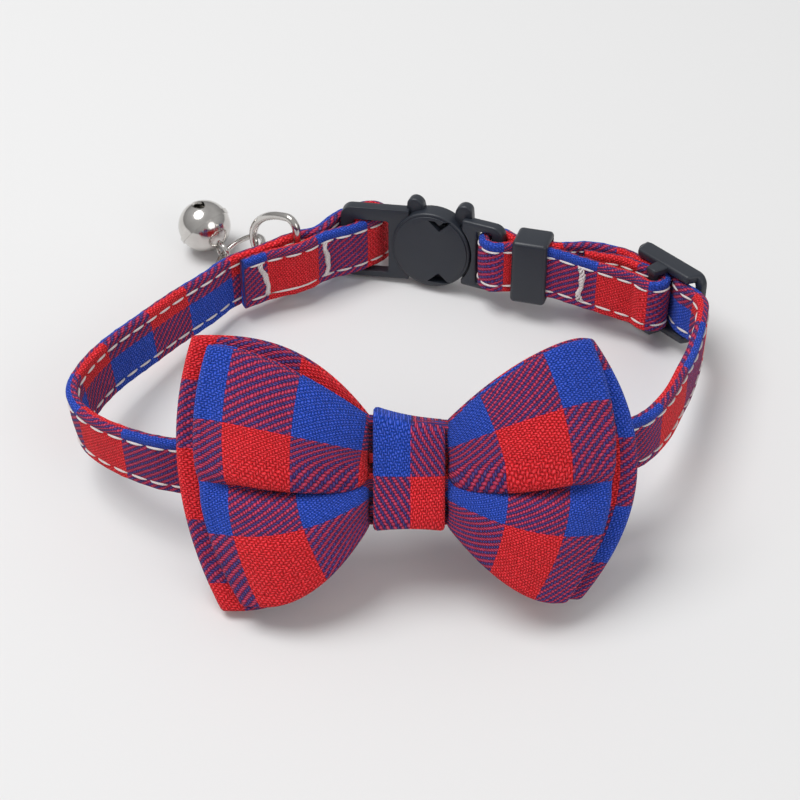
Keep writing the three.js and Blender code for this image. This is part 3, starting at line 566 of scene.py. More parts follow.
def strip_path():
    """Places of the strip's middle, each with the lean of the strip there."""
    path = []
    for distance in np.linspace(TAB_LENGTH, 0, 10):
        path.append((at(route_seat(distance)[0], 0, -spread_at(distance)), 0))
    bar = route_seat(0)[0]
    quarter = math.pi / 2
    path += bend(lambda c, s: at(bar, LEFT_SLACK + bar_spread * c, bar_spread * s),
                 -quarter, quarter, 6)
    for distance in np.linspace(0, route_length, 65):
        here, tilt = route_seat(distance)
        path.append((at(here, 0, spread_at(distance)), tilt))
    hump = SLIDER_HALF - SLIDER_BAR - GAP
    path += [(at(slider, hump * c, SLIDER_HUMP * 0.5 * (1 + math.cos(math.pi * c))), 0)
             for c in np.linspace(1, -1, 9)]
    path.append((at(slider, -SLIDER_HALF - 0.5, 0), 0))
    keeper_end = KEEPER_LENGTH / 2 + 1
    outer_end = at(keeper, keeper_end, flat_spread)
    outer_middle = (at(slider, -SLIDER_HALF - 1.5, 0) + outer_end) / 2 + OUTER_BULGE * keeper["out"]
    path += [(outer_middle, 0), (outer_end, 0)]
    path += [(at(keeper, a, flat_spread), 0) for a in (0, -KEEPER_LENGTH / 2)]
    path += bend(lambda c, s: at(bar_end, -bar_spread * c, bar_spread * s),
                 quarter + 0.2, -quarter - 0.2, 7)
    path += [(at(keeper, a, -flat_spread), 0) for a in (-KEEPER_LENGTH / 2, 0, keeper_end)]
    inner_start = at(keeper, keeper_end, -flat_spread)
    inner_end = at(slider, -SLIDER_HALF / 4, core_out - core_wrap)
    path += [(inner_start + share * (inner_end - inner_start), 0) for share in (0.3, 0.55, 0.8)]
    path.append((inner_end, 0))
    path += bend(lambda c, s: at(slider, core_wrap * c, core_out + core_wrap * s),
                 -quarter, quarter, 6)
    path.append((at(slider, -SLIDER_HALF / 2, core_out + core_wrap * 0.55), 0))
    middle_from = at(slider, -SLIDER_HALF, -layer_step)
    middle_to = at(keeper, keeper_end, 0) + 0.42 * (middle_from - at(keeper, keeper_end, 0))
    path += [(middle_from, 0), ((middle_from + middle_to) / 2, 0), (middle_to, 0)]
    return path


STATION_STEP = 0.6
strip_points = strip_path()
strip_spans = spans_through([place for place, tilt in strip_points])
dense = np.linspace(0, 1, 20001)
dense_lengths = grown_lengths(along_line(strip_spans, dense)[0])
strip_length = dense_lengths[-1]
print("the strip is", round(strip_length), "mm long")


def strip_at(lengths):
    """Middle, wide direction and outward direction of the strip at lengths from its sewn tab."""
    shares = np.interp(lengths, dense_lengths, dense)
    places, tangents = along_line(strip_spans, shares)
    scaled = shares * (len(strip_points) - 1)
    tilt = np.interp(scaled, range(len(strip_points)), [tilt for place, tilt in strip_points])
    tangents[:, 2] = 0
    tangents /= np.linalg.norm(tangents, axis=1, keepdims=True)
    out = np.stack([tangents[:, 1], -tangents[:, 0], 0 * tilt], axis=1)
    up_way = np.array([[0, 0, 1.0]])
    wide = up_way * np.cos(tilt)[:, None] + out * np.sin(tilt)[:, None]
    thick = out * np.cos(tilt)[:, None] - up_way * np.sin(tilt)[:, None]
    return places, wide, thick


# %% [markdown]
# The strip's section
# Real folded cotton is thickest in the middle, pulled in under each row of stitches and round at
# its edges, where the stitches pucker it. A bevelled ribbon would be too stiff and even, so each
# section is built point by point: the outer face, one round edge, the inner face, the other edge.
# The check's warp changes are lengths along the strip, set where the photograph has them.

# %% Shape the strip's section
WARP_CHANGES = (
    4.6, 14.3, 24.7, 39.6, 53.1, 66.6, 77.4, 86.9, 98.3, 107.6, 117.2, 126.4, 135.9, 145.5,
    155.1, 164.7, 174.2, 183.8, 193.4, 203, 212.6, 224.4, 237.6, 245.4, 255.6, 266.1, 276.6,
    287.6, 298.6, 306.1, 316, 326.1, 336.3,
)
SEAM_AT = 3.6
INNER_SEAM = 1.45
STITCH_ROW = 3.4
STITCH_LENGTH = 3.05
STITCH_PITCH = 3.5
EDGE_ROUND = 0.5
PUFF = 0.07
PUFF_SPREAD = 3.2
DENT = 0.16
DENT_SPREAD = 0.36
PUCKER = 0.09
FACE_WIDTHS = (-4.5, -4.2, -3.9, -3.65, -3.4, -3.15, -2.9, -2.5, -1.7, -0.8)
face_w = np.array(FACE_WIDTHS + (0,) + tuple(-w for w in FACE_WIDTHS[::-1]))
edge_turns = np.radians([30, 60])
stations = np.linspace(0, strip_length, round(strip_length / STATION_STEP) + 1)
print(len(stations), "sections along the strip")


def stitched(lengths):
    """1 under a stitch and 0 in the gap between two stitches."""
    share = (np.asarray(lengths) % STITCH_PITCH) / STITCH_PITCH
    return smooth(4 * share) * smooth(4 * (STITCH_LENGTH / STITCH_PITCH + 0.1 - share))


def half_thickness(lengths):
    """How far each face stands from the middle, for each station and each width."""
    row = np.exp(-((np.abs(face_w) - STITCH_ROW) / DENT_SPREAD) ** 2)
    pull = 0.35 + 0.65 * stitched(lengths)[:, None]
    crown = PUFF * np.cos(face_w / PUFF_SPREAD) + 0.04 * np.sin(lengths[:, None] / 2.9 + face_w)
    return STRAP_THICK / 2 - 0.02 + crown - DENT * row * pull


def warp_at(lengths):
    marks = np.concatenate([[-5.8], WARP_CHANGES, [WARP_CHANGES[-1] + 10.4]])
    return np.interp(lengths, marks, np.arange(1, len(marks) + 1))


def weft_on(side, w):
    """Weft count on the outer side, which is red up to the seam, and on the inner side."""
    if side > 0:
        return np.interp(w, (-5, SEAM_AT, 5), (0.08, 1.0, 1.28))
    return np.interp(w, (-5, INNER_SEAM, 5), (3.62, 3.0, 2.66))


# %% Cover the strip with cloth
middles, wide_ways, thick_ways = strip_at(stations)
half = half_thickness(stations)
pucker = PUCKER * stitched(stations + 0.9)[:, None]
columns_w, columns_n, before_v, after_v = [], [], [], []


def add_column(w, n, v_before, v_after):
    columns_w.append(w)
    columns_n.append(n)
    before_v.append(v_before)
    after_v.append(v_after)


def add_edge(side, end, turns):
    """The round edge of the strip, on one side of its middle line."""
    for turn_now in turns:
        reach = STRAP_HALF - EDGE_ROUND + EDGE_ROUND * math.sin(turn_now)
        row = half[:, 0] if end < 0 else half[:, -1]
        v = weft_on(side, end * reach)
        add_column(end * (reach - pucker[:, 0]), side * row * math.cos(turn_now), v, v)


flat_column = 0 * stations
add_column(flat_column - STRAP_HALF + pucker[:, 0], flat_column, 3.66, 0.06)
add_edge(1, -1, edge_turns[::-1])
for k, w in enumerate(face_w):
    add_column(flat_column + w, half[:, k], weft_on(1, w), weft_on(1, w))
add_edge(1, 1, edge_turns)
add_column(flat_column + STRAP_HALF - pucker[:, 0], flat_column, 1.32, 2.62)
add_edge(-1, 1, edge_turns[::-1])
for k in range(len(face_w) - 1, -1, -1):
    add_column(flat_column + face_w[k], -half[:, k], weft_on(-1, face_w[k]), weft_on(-1, face_w[k]))
add_edge(-1, -1, edge_turns)


def counted(weft):
    """The warp count of each station with the weft count of each point of its ring."""
    return np.stack(np.broadcast_arrays(warp_at(stations)[:, None], np.array(weft)), axis=-1)


across_w = np.stack(columns_w, axis=1)[..., None]
through_n = np.stack(columns_n, axis=1)[..., None]
strip_rings = middles[:, None] + across_w * wide_ways[:, None] + through_n * thick_ways[:, None]
strip_uv = np.stack([counted(before_v), counted(after_v)], axis=2)
strap_cloth = sheet_mesh("strap_cloth", strip_rings, strip_uv)
finish_piece(strap_cloth, plaid, "plaid_cloth", "strap")

# %% [markdown]
# The stitching
# Two rows of white thread run along the strap near its edges. Each stitch is a short thread that
# comes up through the cloth, lies on it and goes down again, so it is a small tube that bows a
# little and sinks at both ends. A stitch could be a curve copied along the strap, but nearly four
# hundred copies are slow to bend one by one, so they are worked out together and joined as one
# mesh. The bar tacks are heavier: a few twisted threads laid across the strap where layers are
# sewn.

# %% Spin the thread
# THREAD_SHADE is the white of the thread with painted shade, for the grooves of its twist.
THREAD = (0.86, 0.82, 0.80)
THREAD_SHADE = (0.66, 0.58, 0.57)


def ribbed_material(name, values, colours, ribs, bump, direction="X", distortion=0):
    """Fine ribs that follow the piece's own UV map, as on twisted thread and elastic. The bump raises
    each rib, and the colour runs from the first colour in the grooves to the second on the rib tops, as
    painted shade in the grooves.
    """
    material, tree, shader = new_material(name, values)
    wave = tree.nodes.new("ShaderNodeTexWave")
    wave.bands_direction = direction
    wave.inputs["Scale"].default_value = ribs
    wave.inputs["Distortion"].default_value = distortion
    tree.links.new(cloth_place(tree), wave.inputs[0])
    tree.links.new(mix_colours(tree, wave.outputs["Fac"], *colours), shader.inputs["Base Color"])
    add_bump(tree, wave.outputs["Fac"], *bump)
    return material


thread = ribbed_material("white_thread", {"Roughness": 0.6, "Sheen Weight": 0.2},
                         (THREAD_SHADE, THREAD), 0.9, (0.5, 0.00006), "DIAGONAL")
print("thread nodes:", len(thread.node_tree.nodes))

# %% Sew the stitches
THREAD_RADIUS = 0.2
THREAD_SIDES = 7
THREAD_TURNS = 3
STITCH_POINTS = 9
STITCH_SINK = 0.14
STITCH_WANDER = 0.15
LONG_STITCH = (5.2, 14.6)


def thread_tubes(name, lines, radius):
    """One mesh of tubes, each along a short line of points that ends in a closed tip."""
    vertices, faces, corners = [], [], []
    turns = 2 * math.pi * np.arange(THREAD_SIDES) / THREAD_SIDES
    for line in lines:
        line = np.array(line)
        first = len(vertices)
        along = np.gradient(line, axis=0)
        along /= np.linalg.norm(along, axis=1, keepdims=True)
        side = np.cross(along, line[-1] - line[0] + np.array([0.3, 0.2, 0.9]))
        side /= np.linalg.norm(side, axis=1, keepdims=True)
        other = np.cross(along, side)
        count = len(line)
        shares = np.sin(np.pi * np.linspace(0.03, 0.97, count)) ** 0.35
        for k in range(count):
            for angle in turns:
                offset = side[k] * math.cos(angle) + other[k] * math.sin(angle)
                vertices.append(line[k] + offset * radius * shares[k])
        for k in range(count - 1):
            a = first + k * THREAD_SIDES
            b = a + THREAD_SIDES
            for n in range(THREAD_SIDES):
                m = (n + 1) % THREAD_SIDES
                faces.append((a + n, b + n, b + m, a + m))
                v0, v1 = n / THREAD_SIDES * THREAD_TURNS, (n + 1) / THREAD_SIDES * THREAD_TURNS
                corners += [(k, v0), (k + 1, v0), (k + 1, v1), (k, v1)]
        last = first + (count - 1) * THREAD_SIDES
        faces.append(tuple(first + n for n in range(THREAD_SIDES)))
        faces.append(tuple(last + n for n in reversed(range(THREAD_SIDES))))
        corners += [(0, 0)] * (2 * THREAD_SIDES)
    made = link_mesh(name, to_world(np.array(vertices)), faces)
    write_uv(made, corners)
    tubes = bmesh.new()
    tubes.from_mesh(made.data)
    bmesh.ops.recalc_face_normals(tubes, faces=tubes.faces)
    tubes.to_mesh(made.data)
    tubes.free()
    made.data.shade_smooth()
    return made


def stitch_line(start, row, side, length=STITCH_LENGTH):
    """One stitch: it rises out of the cloth, lies on it and sinks again."""
    shares = np.linspace(0, 1, STITCH_POINTS)
    places, wide, thick = strip_at(start + shares * length)
    face = STRAP_THICK / 2 + PUFF * math.cos(row / PUFF_SPREAD) - DENT
    height = face - STITCH_SINK + (STITCH_SINK + THREAD_RADIUS * 0.7) * np.sin(np.pi * shares) ** 0.3
    return places + wide * row + thick * (side * height)[:, None]


long_start, long_end = LONG_STITCH
stitch_lines = [stitch_line(long_start, -STITCH_ROW, 1, long_end - long_start)]
starts = np.arange(1.0, strip_length - STITCH_LENGTH, STITCH_PITCH)
for side in (1, -1):
    for row in (STITCH_ROW, -STITCH_ROW):
        for start_at in starts:
            if side > 0 and row < 0 and long_start - 2 < start_at < long_end:
                continue
            start_at += STITCH_WANDER * math.sin(start_at * 1.7)
            stitch_lines.append(stitch_line(start_at, row, side))
strap_stitches = thread_tubes("strap_stitches", stitch_lines, THREAD_RADIUS)
finish_piece(strap_stitches, thread, "plaid_cloth")
print(len(stitch_lines), "stitches")

# %% Sew the bar tacks
TACK_RADIUS = 0.27
TACK_STRANDS = 4
TACK_POINTS = 22
TACK_TWISTS = 2.6
TACK_COLUMNS = ("place", "side", "slant")
TACKS = (
    (4.0, 1, -1.6), (16.3, 1, -0.4), (313.2, 1, 0.1), (58.2, 1, -1.6), (46.0, 1, -0.4),
    (277.0, 1, -0.1),
)


def tack_lines(place, side, slant):
    """The strands of one tack, twisted round each other and a little uneven."""
    shares = np.linspace(0, 1, TACK_POINTS)
    ends = np.abs(2 * shares - 1)
    spread = 0.26 + 0.34 * ends ** 3 + 0.1 * np.sin(9 * shares + place)
    bow_out = 0.22 * np.sin(7 * shares + place) + 0.12 * np.sin(17 * shares + 2 * place)
    row = STITCH_ROW * (1 - 2 * shares) * 1.04
    lines = []
    for strand in range(TACK_STRANDS):
        phase = 2 * math.pi * strand / TACK_STRANDS
        twist = phase + shares * 2 * math.pi * TACK_TWISTS
        lengths = place - slant * (shares - 0.5) + spread * np.cos(twist) + bow_out
        places, wide, thick = strip_at(lengths)
        height = STRAP_THICK / 2 + 0.10 + 0.20 * np.sin(twist) - 0.3 * ends ** 8
        lines.append(places + wide * row[:, None] + thick * (side * height)[:, None])
    return lines


tack_rows = [dict(zip(TACK_COLUMNS, tack)) for tack in TACKS]
tack_strands = [line for tack in tack_rows for line in tack_lines(**tack)]
bar_tacks = thread_tubes("bar_tacks", tack_strands, TACK_RADIUS)
finish_piece(bar_tacks, thread, "plaid_cloth")

# %% [markdown]
# The bow Each of the two bows is one band of cloth that runs out along the front, turns at the
# side and comes back behind, so its two lobes are hollow. The middle is pinched under the knot,
# and the front of the front bow has a deep lying fold whose upper half hangs over the lower one. A
# cloth simulation could pinch a flat band too, but its folds would fall where they like. So the
# shape is a surface of two shares, one from the knot to the tip and one from hem to hem, and the
# fold is part of its formula.

# %% Size the bow
STRIPE = 10.4
BOW_RAISE = 0.5
BOW_HALF_WIDTH = 35
BOW_HALF_HEIGHT = 20.3
BOW_WALL = 1.0
BOW_PUFF = 5.6
BACK_PUFF = 1.1
LOW_PINCH = 6.8
FOLD_INSET = 1.6
FOLD_DEPTH = 5.4
FOLD_LIP = 2.6
KNOT_WIDTH = 10.6
KNOT_HALF_HEIGHT = 8.8
KNOT_WALL = 1.2
BAND_WIDTH = 8
BAND_WALL = 0.9
BAND_BACK = STRAP_THICK / 2 + 1.5 * GAP
KNOT_BACK = BAND_BACK + BAND_WALL + GAP
CLOTH_BACK = KNOT_BACK + KNOT_WALL + GAP
PANEL_STEP = BOW_WALL + GAP
KNOT_FRONT = CLOTH_BACK + 4 * PANEL_STEP
LOBE_START = KNOT_WIDTH / 2 + 2 * GAP
print("from the middle of the strap to the front of the knot:", round(KNOT_FRONT + KNOT_WALL, 2), "mm")

# %% [markdown]
# The four lobes
# No two lobes are alike, so each has a short entry. Its pinch is how high the cloth stands at the
# knot, in millimetres. The other lengths are shares of the bow's half width and half height: tip
# and foot say how far the side reaches above and below, belly how much farther it bulges between
# them, rise and drop how high and how low the lobe goes. Crest and hem say how soon its upper and
# lower edge spread out from the pinch. Columns and rows hold the counts of the check and where its
# lines cross the lobe, from its lower hem at -1 to its upper hem at 1.

# %% Describe the lobes
LOBES = {
    "front_left": dict(
        side=-1, pinch=8.6, tip=0.854, belly=0.104, foot=0.731, rise=0.955, drop=0.95,
        crest=1.55, hem=2.3,
        columns=dict(count=(3, 2), top=(0.453, 0.878), middle=(0.479, 0.876), bottom=(0.357, 0.90)),
        rows=dict(at=(1, 0.47, 0.05, -0.05, -0.42, -1), row=(3.93, 3, 2.12, 1.92, 1, 0.08))),
    "front_right": dict(
        side=1, pinch=7.6, tip=0.777, belly=0.134, foot=0.697, rise=1.0, drop=0.925,
        crest=1.6, hem=1.7,
        columns=dict(count=(2, 3), top=(0.248, 0.703), middle=(0.392, 0.793), bottom=(0.382, 0.771)),
        rows=dict(at=(1, 0.59, 0.05, -0.05, -0.44, -1), row=(3.93, 3, 2.12, 1.92, 1, 0.08))),
    "back_left": dict(
        side=-1, pinch=8.2, tip=0.931, belly=0.12, foot=0.829, rise=1.0, drop=1.035,
        crest=2.7, hem=2.3,
        columns=dict(count=(2, 1), top=(0.40, 0.893), middle=(0.40, 0.88), bottom=(0.40, 0.88)),
        rows=dict(at=(1, 0.707, 0.197, -0.333, -0.804, -1), row=(4.58, 4, 3, 2, 1, 0.62))),
    "back_right": dict(
        side=1, pinch=7.4, tip=0.8, belly=0.209, foot=0.771, rise=0.975, drop=0.946,
        crest=1.6, hem=1.8,
        columns=dict(count=(2, 3), top=(0.52, 0.947), middle=(0.52, 0.947), bottom=(0.52, 0.93)),
        rows=dict(at=(1, 0.796, 0.284, -0.258, -0.711, -1), row=(4.4, 4, 3, 2, 1, 0.4))),
}
FRONT_PANEL = 3
PANEL_LIFTS = (0, 0.9, 1.2)
DOME_FALL = 0.5
FOLD_AT = -0.045
LIP_AT = 0.09
CREASE = 0.22
RIPPLE = 0.12
SWELL = dict(at=(0, 0.05, 0.14, 0.3, 0.52, 0.78, 1), value=(0, 0.34, 0.6, 0.88, 1, 0.82, 0.36))
FOLD = dict(at=(0, 0.08, 0.3, 0.6, 0.85, 1), value=(0.15, 0.8, 1, 0.8, 0.4, 0.1))
print("lobes:", ", ".join(LOBES))


# %% Shape a lobe
def smooth_table(table, share):
    """A smooth curve through a short table."""
    at_list, values = np.array(table["at"], float), np.array(table["value"], float)
    slopes = np.gradient(values, at_list)
    share = np.clip(share, at_list[0], at_list[-1])
    i = np.clip(np.searchsorted(at_list, share, side="right") - 1, 0, len(at_list) - 2)
    width = at_list[i + 1] - at_list[i]
    t = (share - at_list[i]) / width
    return ((2 * t ** 3 - 3 * t ** 2 + 1) * values[i] + (t ** 3 - 2 * t ** 2 + t) * width * slopes[i]
            + (-2 * t ** 3 + 3 * t ** 2) * values[i + 1] + (t ** 3 - t ** 2) * width * slopes[i + 1])


def panel_at(panel):
    return CLOTH_BACK + BOW_WALL / 2 + panel * PANEL_STEP


def bell_curve(value, centre, width):
    return np.exp(-((value - centre) / width) ** 2)


def panel_lift(panel, u, v):
    """How far a panel stands out: the puffed front one, or one of the flatter ones behind it."""
    swell = np.maximum(smooth_table(SWELL, u), 0)
    back_lift = swell * BACK_PUFF
    if panel < FRONT_PANEL:
        return back_lift * PANEL_LIFTS[panel]
    dome = 1 - DOME_FALL * np.abs(v) ** 2.4
    groove = bell_curve(v, FOLD_AT, 0.1) + 0.35 * bell_curve(v, -0.07, 0.24)
    fold = smooth_table(FOLD, u) * FOLD_DEPTH * groove
    crease = CREASE * np.exp(-u / 0.28) * np.sin(9 * v + 1.5 * np.sign(v))
    ripple = RIPPLE * np.sin(5.2 * u + 3.1 * v) * np.sin(2.3 * v - 4 * u)
    puffed = swell * BOW_PUFF * dome - fold + crease + ripple * swell
    return np.maximum(puffed, back_lift * PANEL_LIFTS[-1] + 0.15)


def lobe_points(lobe, panel, u, v):
    """Places on one panel of a lobe, from the knot at u 0 to the side at u 1."""
    share = (v + 1) / 2
    edge = lobe["foot"] + (lobe["tip"] - lobe["foot"]) * share + lobe["belly"] * (1 - v * v)
    reach = BOW_HALF_WIDTH * edge
    pinch = lobe["pinch"]
    top = pinch + (BOW_HALF_HEIGHT * lobe["rise"] - pinch) * (1 - (1 - u) ** lobe["crest"])
    low = LOW_PINCH + (BOW_HALF_HEIGHT * lobe["drop"] - LOW_PINCH) * (1 - (1 - u) ** lobe["hem"])
    lip = FOLD_LIP * smooth_table(FOLD, u) * bell_curve(v, LIP_AT, 0.1) if panel == FRONT_PANEL else 0
    x = lobe["side"] * (LOBE_START + (reach - LOBE_START - FOLD_INSET) * u)
    y = -panel_at(panel) - panel_lift(panel, u, v)
    z = np.where(v > 0, v * top, v * low) - lip
    return np.stack([x + 0 * z, y + 0 * z, z], axis=-1)


def lobe_cloth(lobe, u, v):
    """The check's column and row count at a place on a lobe."""
    columns, rows = lobe["columns"], lobe["rows"]
    inner, outer = (
        np.interp(v, (-1, 0, 1), [columns[level][end] for level in ("bottom", "middle", "top")])
        for end in (0, 1))
    first, second = columns["count"]
    column = first + (second - first) * (u - inner) / (outer - inner)
    row = np.interp(-v, [-value for value in rows["at"]], rows["row"])
    return np.stack([column, row + 0 * column], axis=-1)


front_lobe = lobe_points(LOBES["front_left"], FRONT_PANEL, np.array([1.0]), np.array([1.0]))[0]
print("the front bow's left tip is at", [round(float(value), 1) for value in front_lobe], "mm")

# %% Give cloth its thickness
CAP_TURNS = (45, 90, 135)


def cloth_section(grid, uv, wall):
    """Gives a middle surface its thickness, with round hems, ring by ring."""
    along = np.roll(grid, -1, axis=0) - np.roll(grid, 1, axis=0)
    across = np.gradient(grid, axis=1)
    normal = np.cross(along, across)
    normal /= np.linalg.norm(normal, axis=-1, keepdims=True)
    half = wall / 2
    front = grid + normal * half
    behind = (grid - normal * half)[:, ::-1]
    hem = wall * math.pi / 4 / STRIPE

    def cap(row, sign):
        edge = across[:, row] / np.linalg.norm(across[:, row], axis=-1, keepdims=True)
        outward = uv[:, row] - uv[:, row - sign]
        outward /= np.linalg.norm(outward, axis=-1, keepdims=True)
        points, marks = [], []
        for degrees in CAP_TURNS:
            angle = math.radians(degrees)
            side = normal[:, row] * math.cos(angle) * sign + edge * math.sin(angle) * sign
            points.append(grid[:, row] + side * half)
            marks.append(uv[:, row] + outward * math.sin(angle) * hem)
        return np.stack(points, axis=1), np.stack(marks, axis=1)

    top_points, top_marks = cap(-1, 1)
    low_points, low_marks = cap(0, -1)
    rings = np.concatenate([front, top_points, behind, low_points], axis=1)
    marks = np.concatenate([uv, top_marks, uv[:, ::-1], low_marks], axis=1)
    return rings, np.repeat(marks[:, :, None, :], 2, axis=2)


def bow_to_loop(points):
    """Places on the bow, which leans with the strap behind it, as places on the loop."""
    lean_matrix = np.array(Matrix.Rotation(-BOW_LEAN, 3, "X"))
    return (points + np.array([0, 0, BOW_RAISE])) @ lean_matrix.T + bow_place


print("the bow's middle lies at", np.round(bow_to_loop(np.zeros(3)), 1), "mm on the loop")


# %% Sew one bow
ROW_COUNT = 81
COLUMN_COUNT = 44
TURN_RADIUS = 1.3
TURN_STEP = 15


def sew_bow(name, left, right, front_panel, back_panel):
    """One closed band: out along the front, round the side and back behind, on both sides."""
    steps = np.linspace(0, 1, COLUMN_COUNT) ** 1.15
    spread = np.linspace(-1, 1, ROW_COUNT)
    v = spread * (0.4 + 0.6 * np.abs(spread))
    rim_u = np.ones_like(v)
    grid, marks = [], []

    def turned(lobe, angle):
        """How far the columns have run on at an angle of the turned side."""
        first, second = lobe["columns"]["count"]
        return math.copysign(angle * TURN_RADIUS / STRIPE, second - first)

    def run(lobe, panel, order):
        for u in order:
            grid.append(lobe_points(lobe, panel, np.full_like(v, u), v))
            cloth = lobe_cloth(lobe, np.full_like(v, u), v)
            if panel == back_panel:
                rim = lobe_cloth(lobe, rim_u, v)[:, 0]
                cloth[:, 0] = 2 * rim - cloth[:, 0] + turned(lobe, math.pi)
            marks.append(cloth)

    def turn_end(lobe, backwards):
        near = lobe_points(lobe, front_panel, rim_u, v)
        far = lobe_points(lobe, back_panel, rim_u, v)
        middle = (near + far) / 2
        radius = (far[:, 1] - near[:, 1]) / 2
        rim = lobe_cloth(lobe, rim_u, v)
        degrees = np.arange(TURN_STEP, 180, TURN_STEP)
        for angle in np.radians(degrees[::-1] if backwards else degrees):
            bulge = np.minimum(radius, FOLD_INSET) * np.sin(angle)
            point = middle.copy()
            point[:, 0] += lobe["side"] * bulge
            point[:, 1] -= radius * np.cos(angle)
            grid.append(point)
            marks.append(rim + np.array([turned(lobe, angle), 0]))

    run(right, front_panel, steps)
    turn_end(right, False)
    run(right, back_panel, steps[::-1])
    run(left, back_panel, steps)
    turn_end(left, True)
    run(left, front_panel, steps[::-1])
    rings, cloth_uv = cloth_section(bow_to_loop(np.array(grid)), np.array(marks), BOW_WALL)
    return sheet_mesh(name, rings, cloth_uv, cloth_uv[-1])


bow_back = sew_bow("bow_back_cloth", LOBES["back_left"], LOBES["back_right"], 1, 0)
finish_piece(bow_back, plaid, "plaid_cloth", "bow_back")
bow_front = sew_bow("bow_front_cloth", LOBES["front_left"], LOBES["front_right"], FRONT_PANEL, 2)
finish_piece(bow_front, plaid, "plaid_cloth", "bow_front")

# %% [markdown]
# The knot
# A narrow band of the same cloth, cut the other way of the weave, goes round both bows and hides
# the pinch. It could be a bent block with soft edges, but then its check would not run round it.
# On the real bow it is pulled tight, so the band follows a rounded rectangle, and the same helper
# closes the elastic later on.

# %% Wrap the knot
BAND_STATIONS = 120
BAND_ROWS = 25


def band_ring(name, cloth, shape, front, back, half_height, wall, width, squareness,
              waist=0, swell=0):
    """A band that closes on itself round the middle of the bow."""
    middle = -(front + back) / 2
    deep = (front - back) / 2 - wall / 2
    across = np.linspace(-1, 1, BAND_ROWS)
    pull = 1 - waist * (1 - across ** 2)
    grid, marks = [], []
    for k in range(BAND_STATIONS):
        angle = 2 * math.pi * k / BAND_STATIONS
        c, s = math.cos(angle), math.sin(angle)
        y = math.copysign(abs(c) ** squareness, c)
        z = math.copysign(abs(s) ** squareness, s)
        full = swell * (1 - across ** 2) * (1 if c < 0 else 0)
        points = np.stack([across * width / 2, middle + y * (deep + full),
                           z * (half_height - wall / 2) * pull], axis=-1)
        grid.append(shape(points))
        marks.append(cloth(points))
    rings, cloth_uv = cloth_section(bow_to_loop(np.array(grid)), np.array(marks), wall)
    return sheet_mesh(name, rings, cloth_uv, cloth_uv[0])


def knot_cloth(points):
    column = 1 + points[:, 2] / STRIPE
    row = 1 - (points[:, 0] - 0.2) / STRIPE
    return np.stack([column, row], axis=-1)


def knot_shape(points):
    """The knot's top edge slopes down to the right, and its right side is pulled in."""
    x, y, z = points.T
    upper = np.clip(z / KNOT_HALF_HEIGHT, 0, 1)
    slope = upper * (0.15 - 1.0 * x / (KNOT_WIDTH / 2)) + 0.5 * (1 - upper)
    return np.stack([x * 0.9 + 0.1, y, z + slope], axis=-1)


bow_knot = band_ring(
    "bow_knot_cloth", knot_cloth, knot_shape, front=KNOT_FRONT + KNOT_WALL, back=KNOT_BACK,
    half_height=KNOT_HALF_HEIGHT, wall=KNOT_WALL, width=KNOT_WIDTH, squareness=0.3,
    waist=0.04, swell=0.4)
finish_piece(bow_knot, plaid, "plaid_cloth", "bow_knot")

# %% [markdown]
# The black plastic
# The clasp, keeper and slider are moulded in one dark, slightly bluish plastic. Moulded plastic is
# never quite flat: its gloss changes a little from place to place and the skin has a very fine
# grain. One flat colour would look computed, so both come from noise read in object space, which
# stays put in every view.

# %% Mould the plastic
PLASTIC = (0.017, 0.021, 0.030)
PLASTIC_LIGHT = (0.024, 0.029, 0.040)


def clouded_material(name, values, colours, clouds, gloss, grain):
    """A hard skin whose colour and gloss change in soft clouds, over a very fine grain."""
    material, tree, shader = new_material(name, values)
    cloudy = noise_texture(tree, clouds)
    tree.links.new(mix_colours(tree, cloudy, *colours), shader.inputs["Base Color"])
    least, change = gloss
    roughness = maths(tree, "ADD", maths(tree, "MULTIPLY", cloudy, change), least)
    tree.links.new(roughness, shader.inputs["Roughness"])
    scale, detail, strength, distance = grain
    add_bump(tree, noise_texture(tree, scale, detail), strength, distance)
    return material


plastic = clouded_material("black_plastic", {"Specular IOR Level": 0.5}, (PLASTIC, PLASTIC_LIGHT),
                           260, (0.33, 0.16), (5200, 3, 0.22, 0.00003))
print("plastic nodes:", len(plastic.node_tree.nodes))

# %% [markdown]
# Tools for the hard pieces
# Each hard piece is drawn as by hand, in millimetres, round its own seat on the loop: a block or a
# rod is added, its faces or edges are picked by their place, and an operator shapes them. It could
# be typed in as points and faces instead, but a bevel or an inset says better what was done to it.
# When the piece is done it is moved to its seat and becomes metres.

# %% Modelling tools
def clear_selection():
    if bpy.context.mode != "OBJECT":
        bpy.ops.object.mode_set(mode="OBJECT")
    bpy.ops.object.select_all(action="DESELECT")


def take(piece):
    clear_selection()
    piece.select_set(True)
    bpy.context.view_layer.objects.active = piece


def add_block(name, low, high):
    clear_selection()
    middle = [(a + b) / 2 for a, b in zip(low, high)]
    bpy.ops.mesh.primitive_cube_add(size=1, location=middle)
    block = bpy.context.object
    block.name = name
    block.scale = [b - a for a, b in zip(low, high)]
    bpy.ops.object.transform_apply(location=True, rotation=True, scale=True)
    return block


def add_rod(name, radius, depth, middle, axis, sides=96):
    clear_selection()
    turns = {"x": (0, math.pi / 2, 0), "y": (math.pi / 2, 0, 0), "z": (0, 0, 0)}
    bpy.ops.mesh.primitive_cylinder_add(
        vertices=sides, radius=radius, depth=depth, location=middle, rotation=turns[axis])
    rod = bpy.context.object
    rod.name = name
    bpy.ops.object.transform_apply(location=True, rotation=True, scale=True)
    return rod


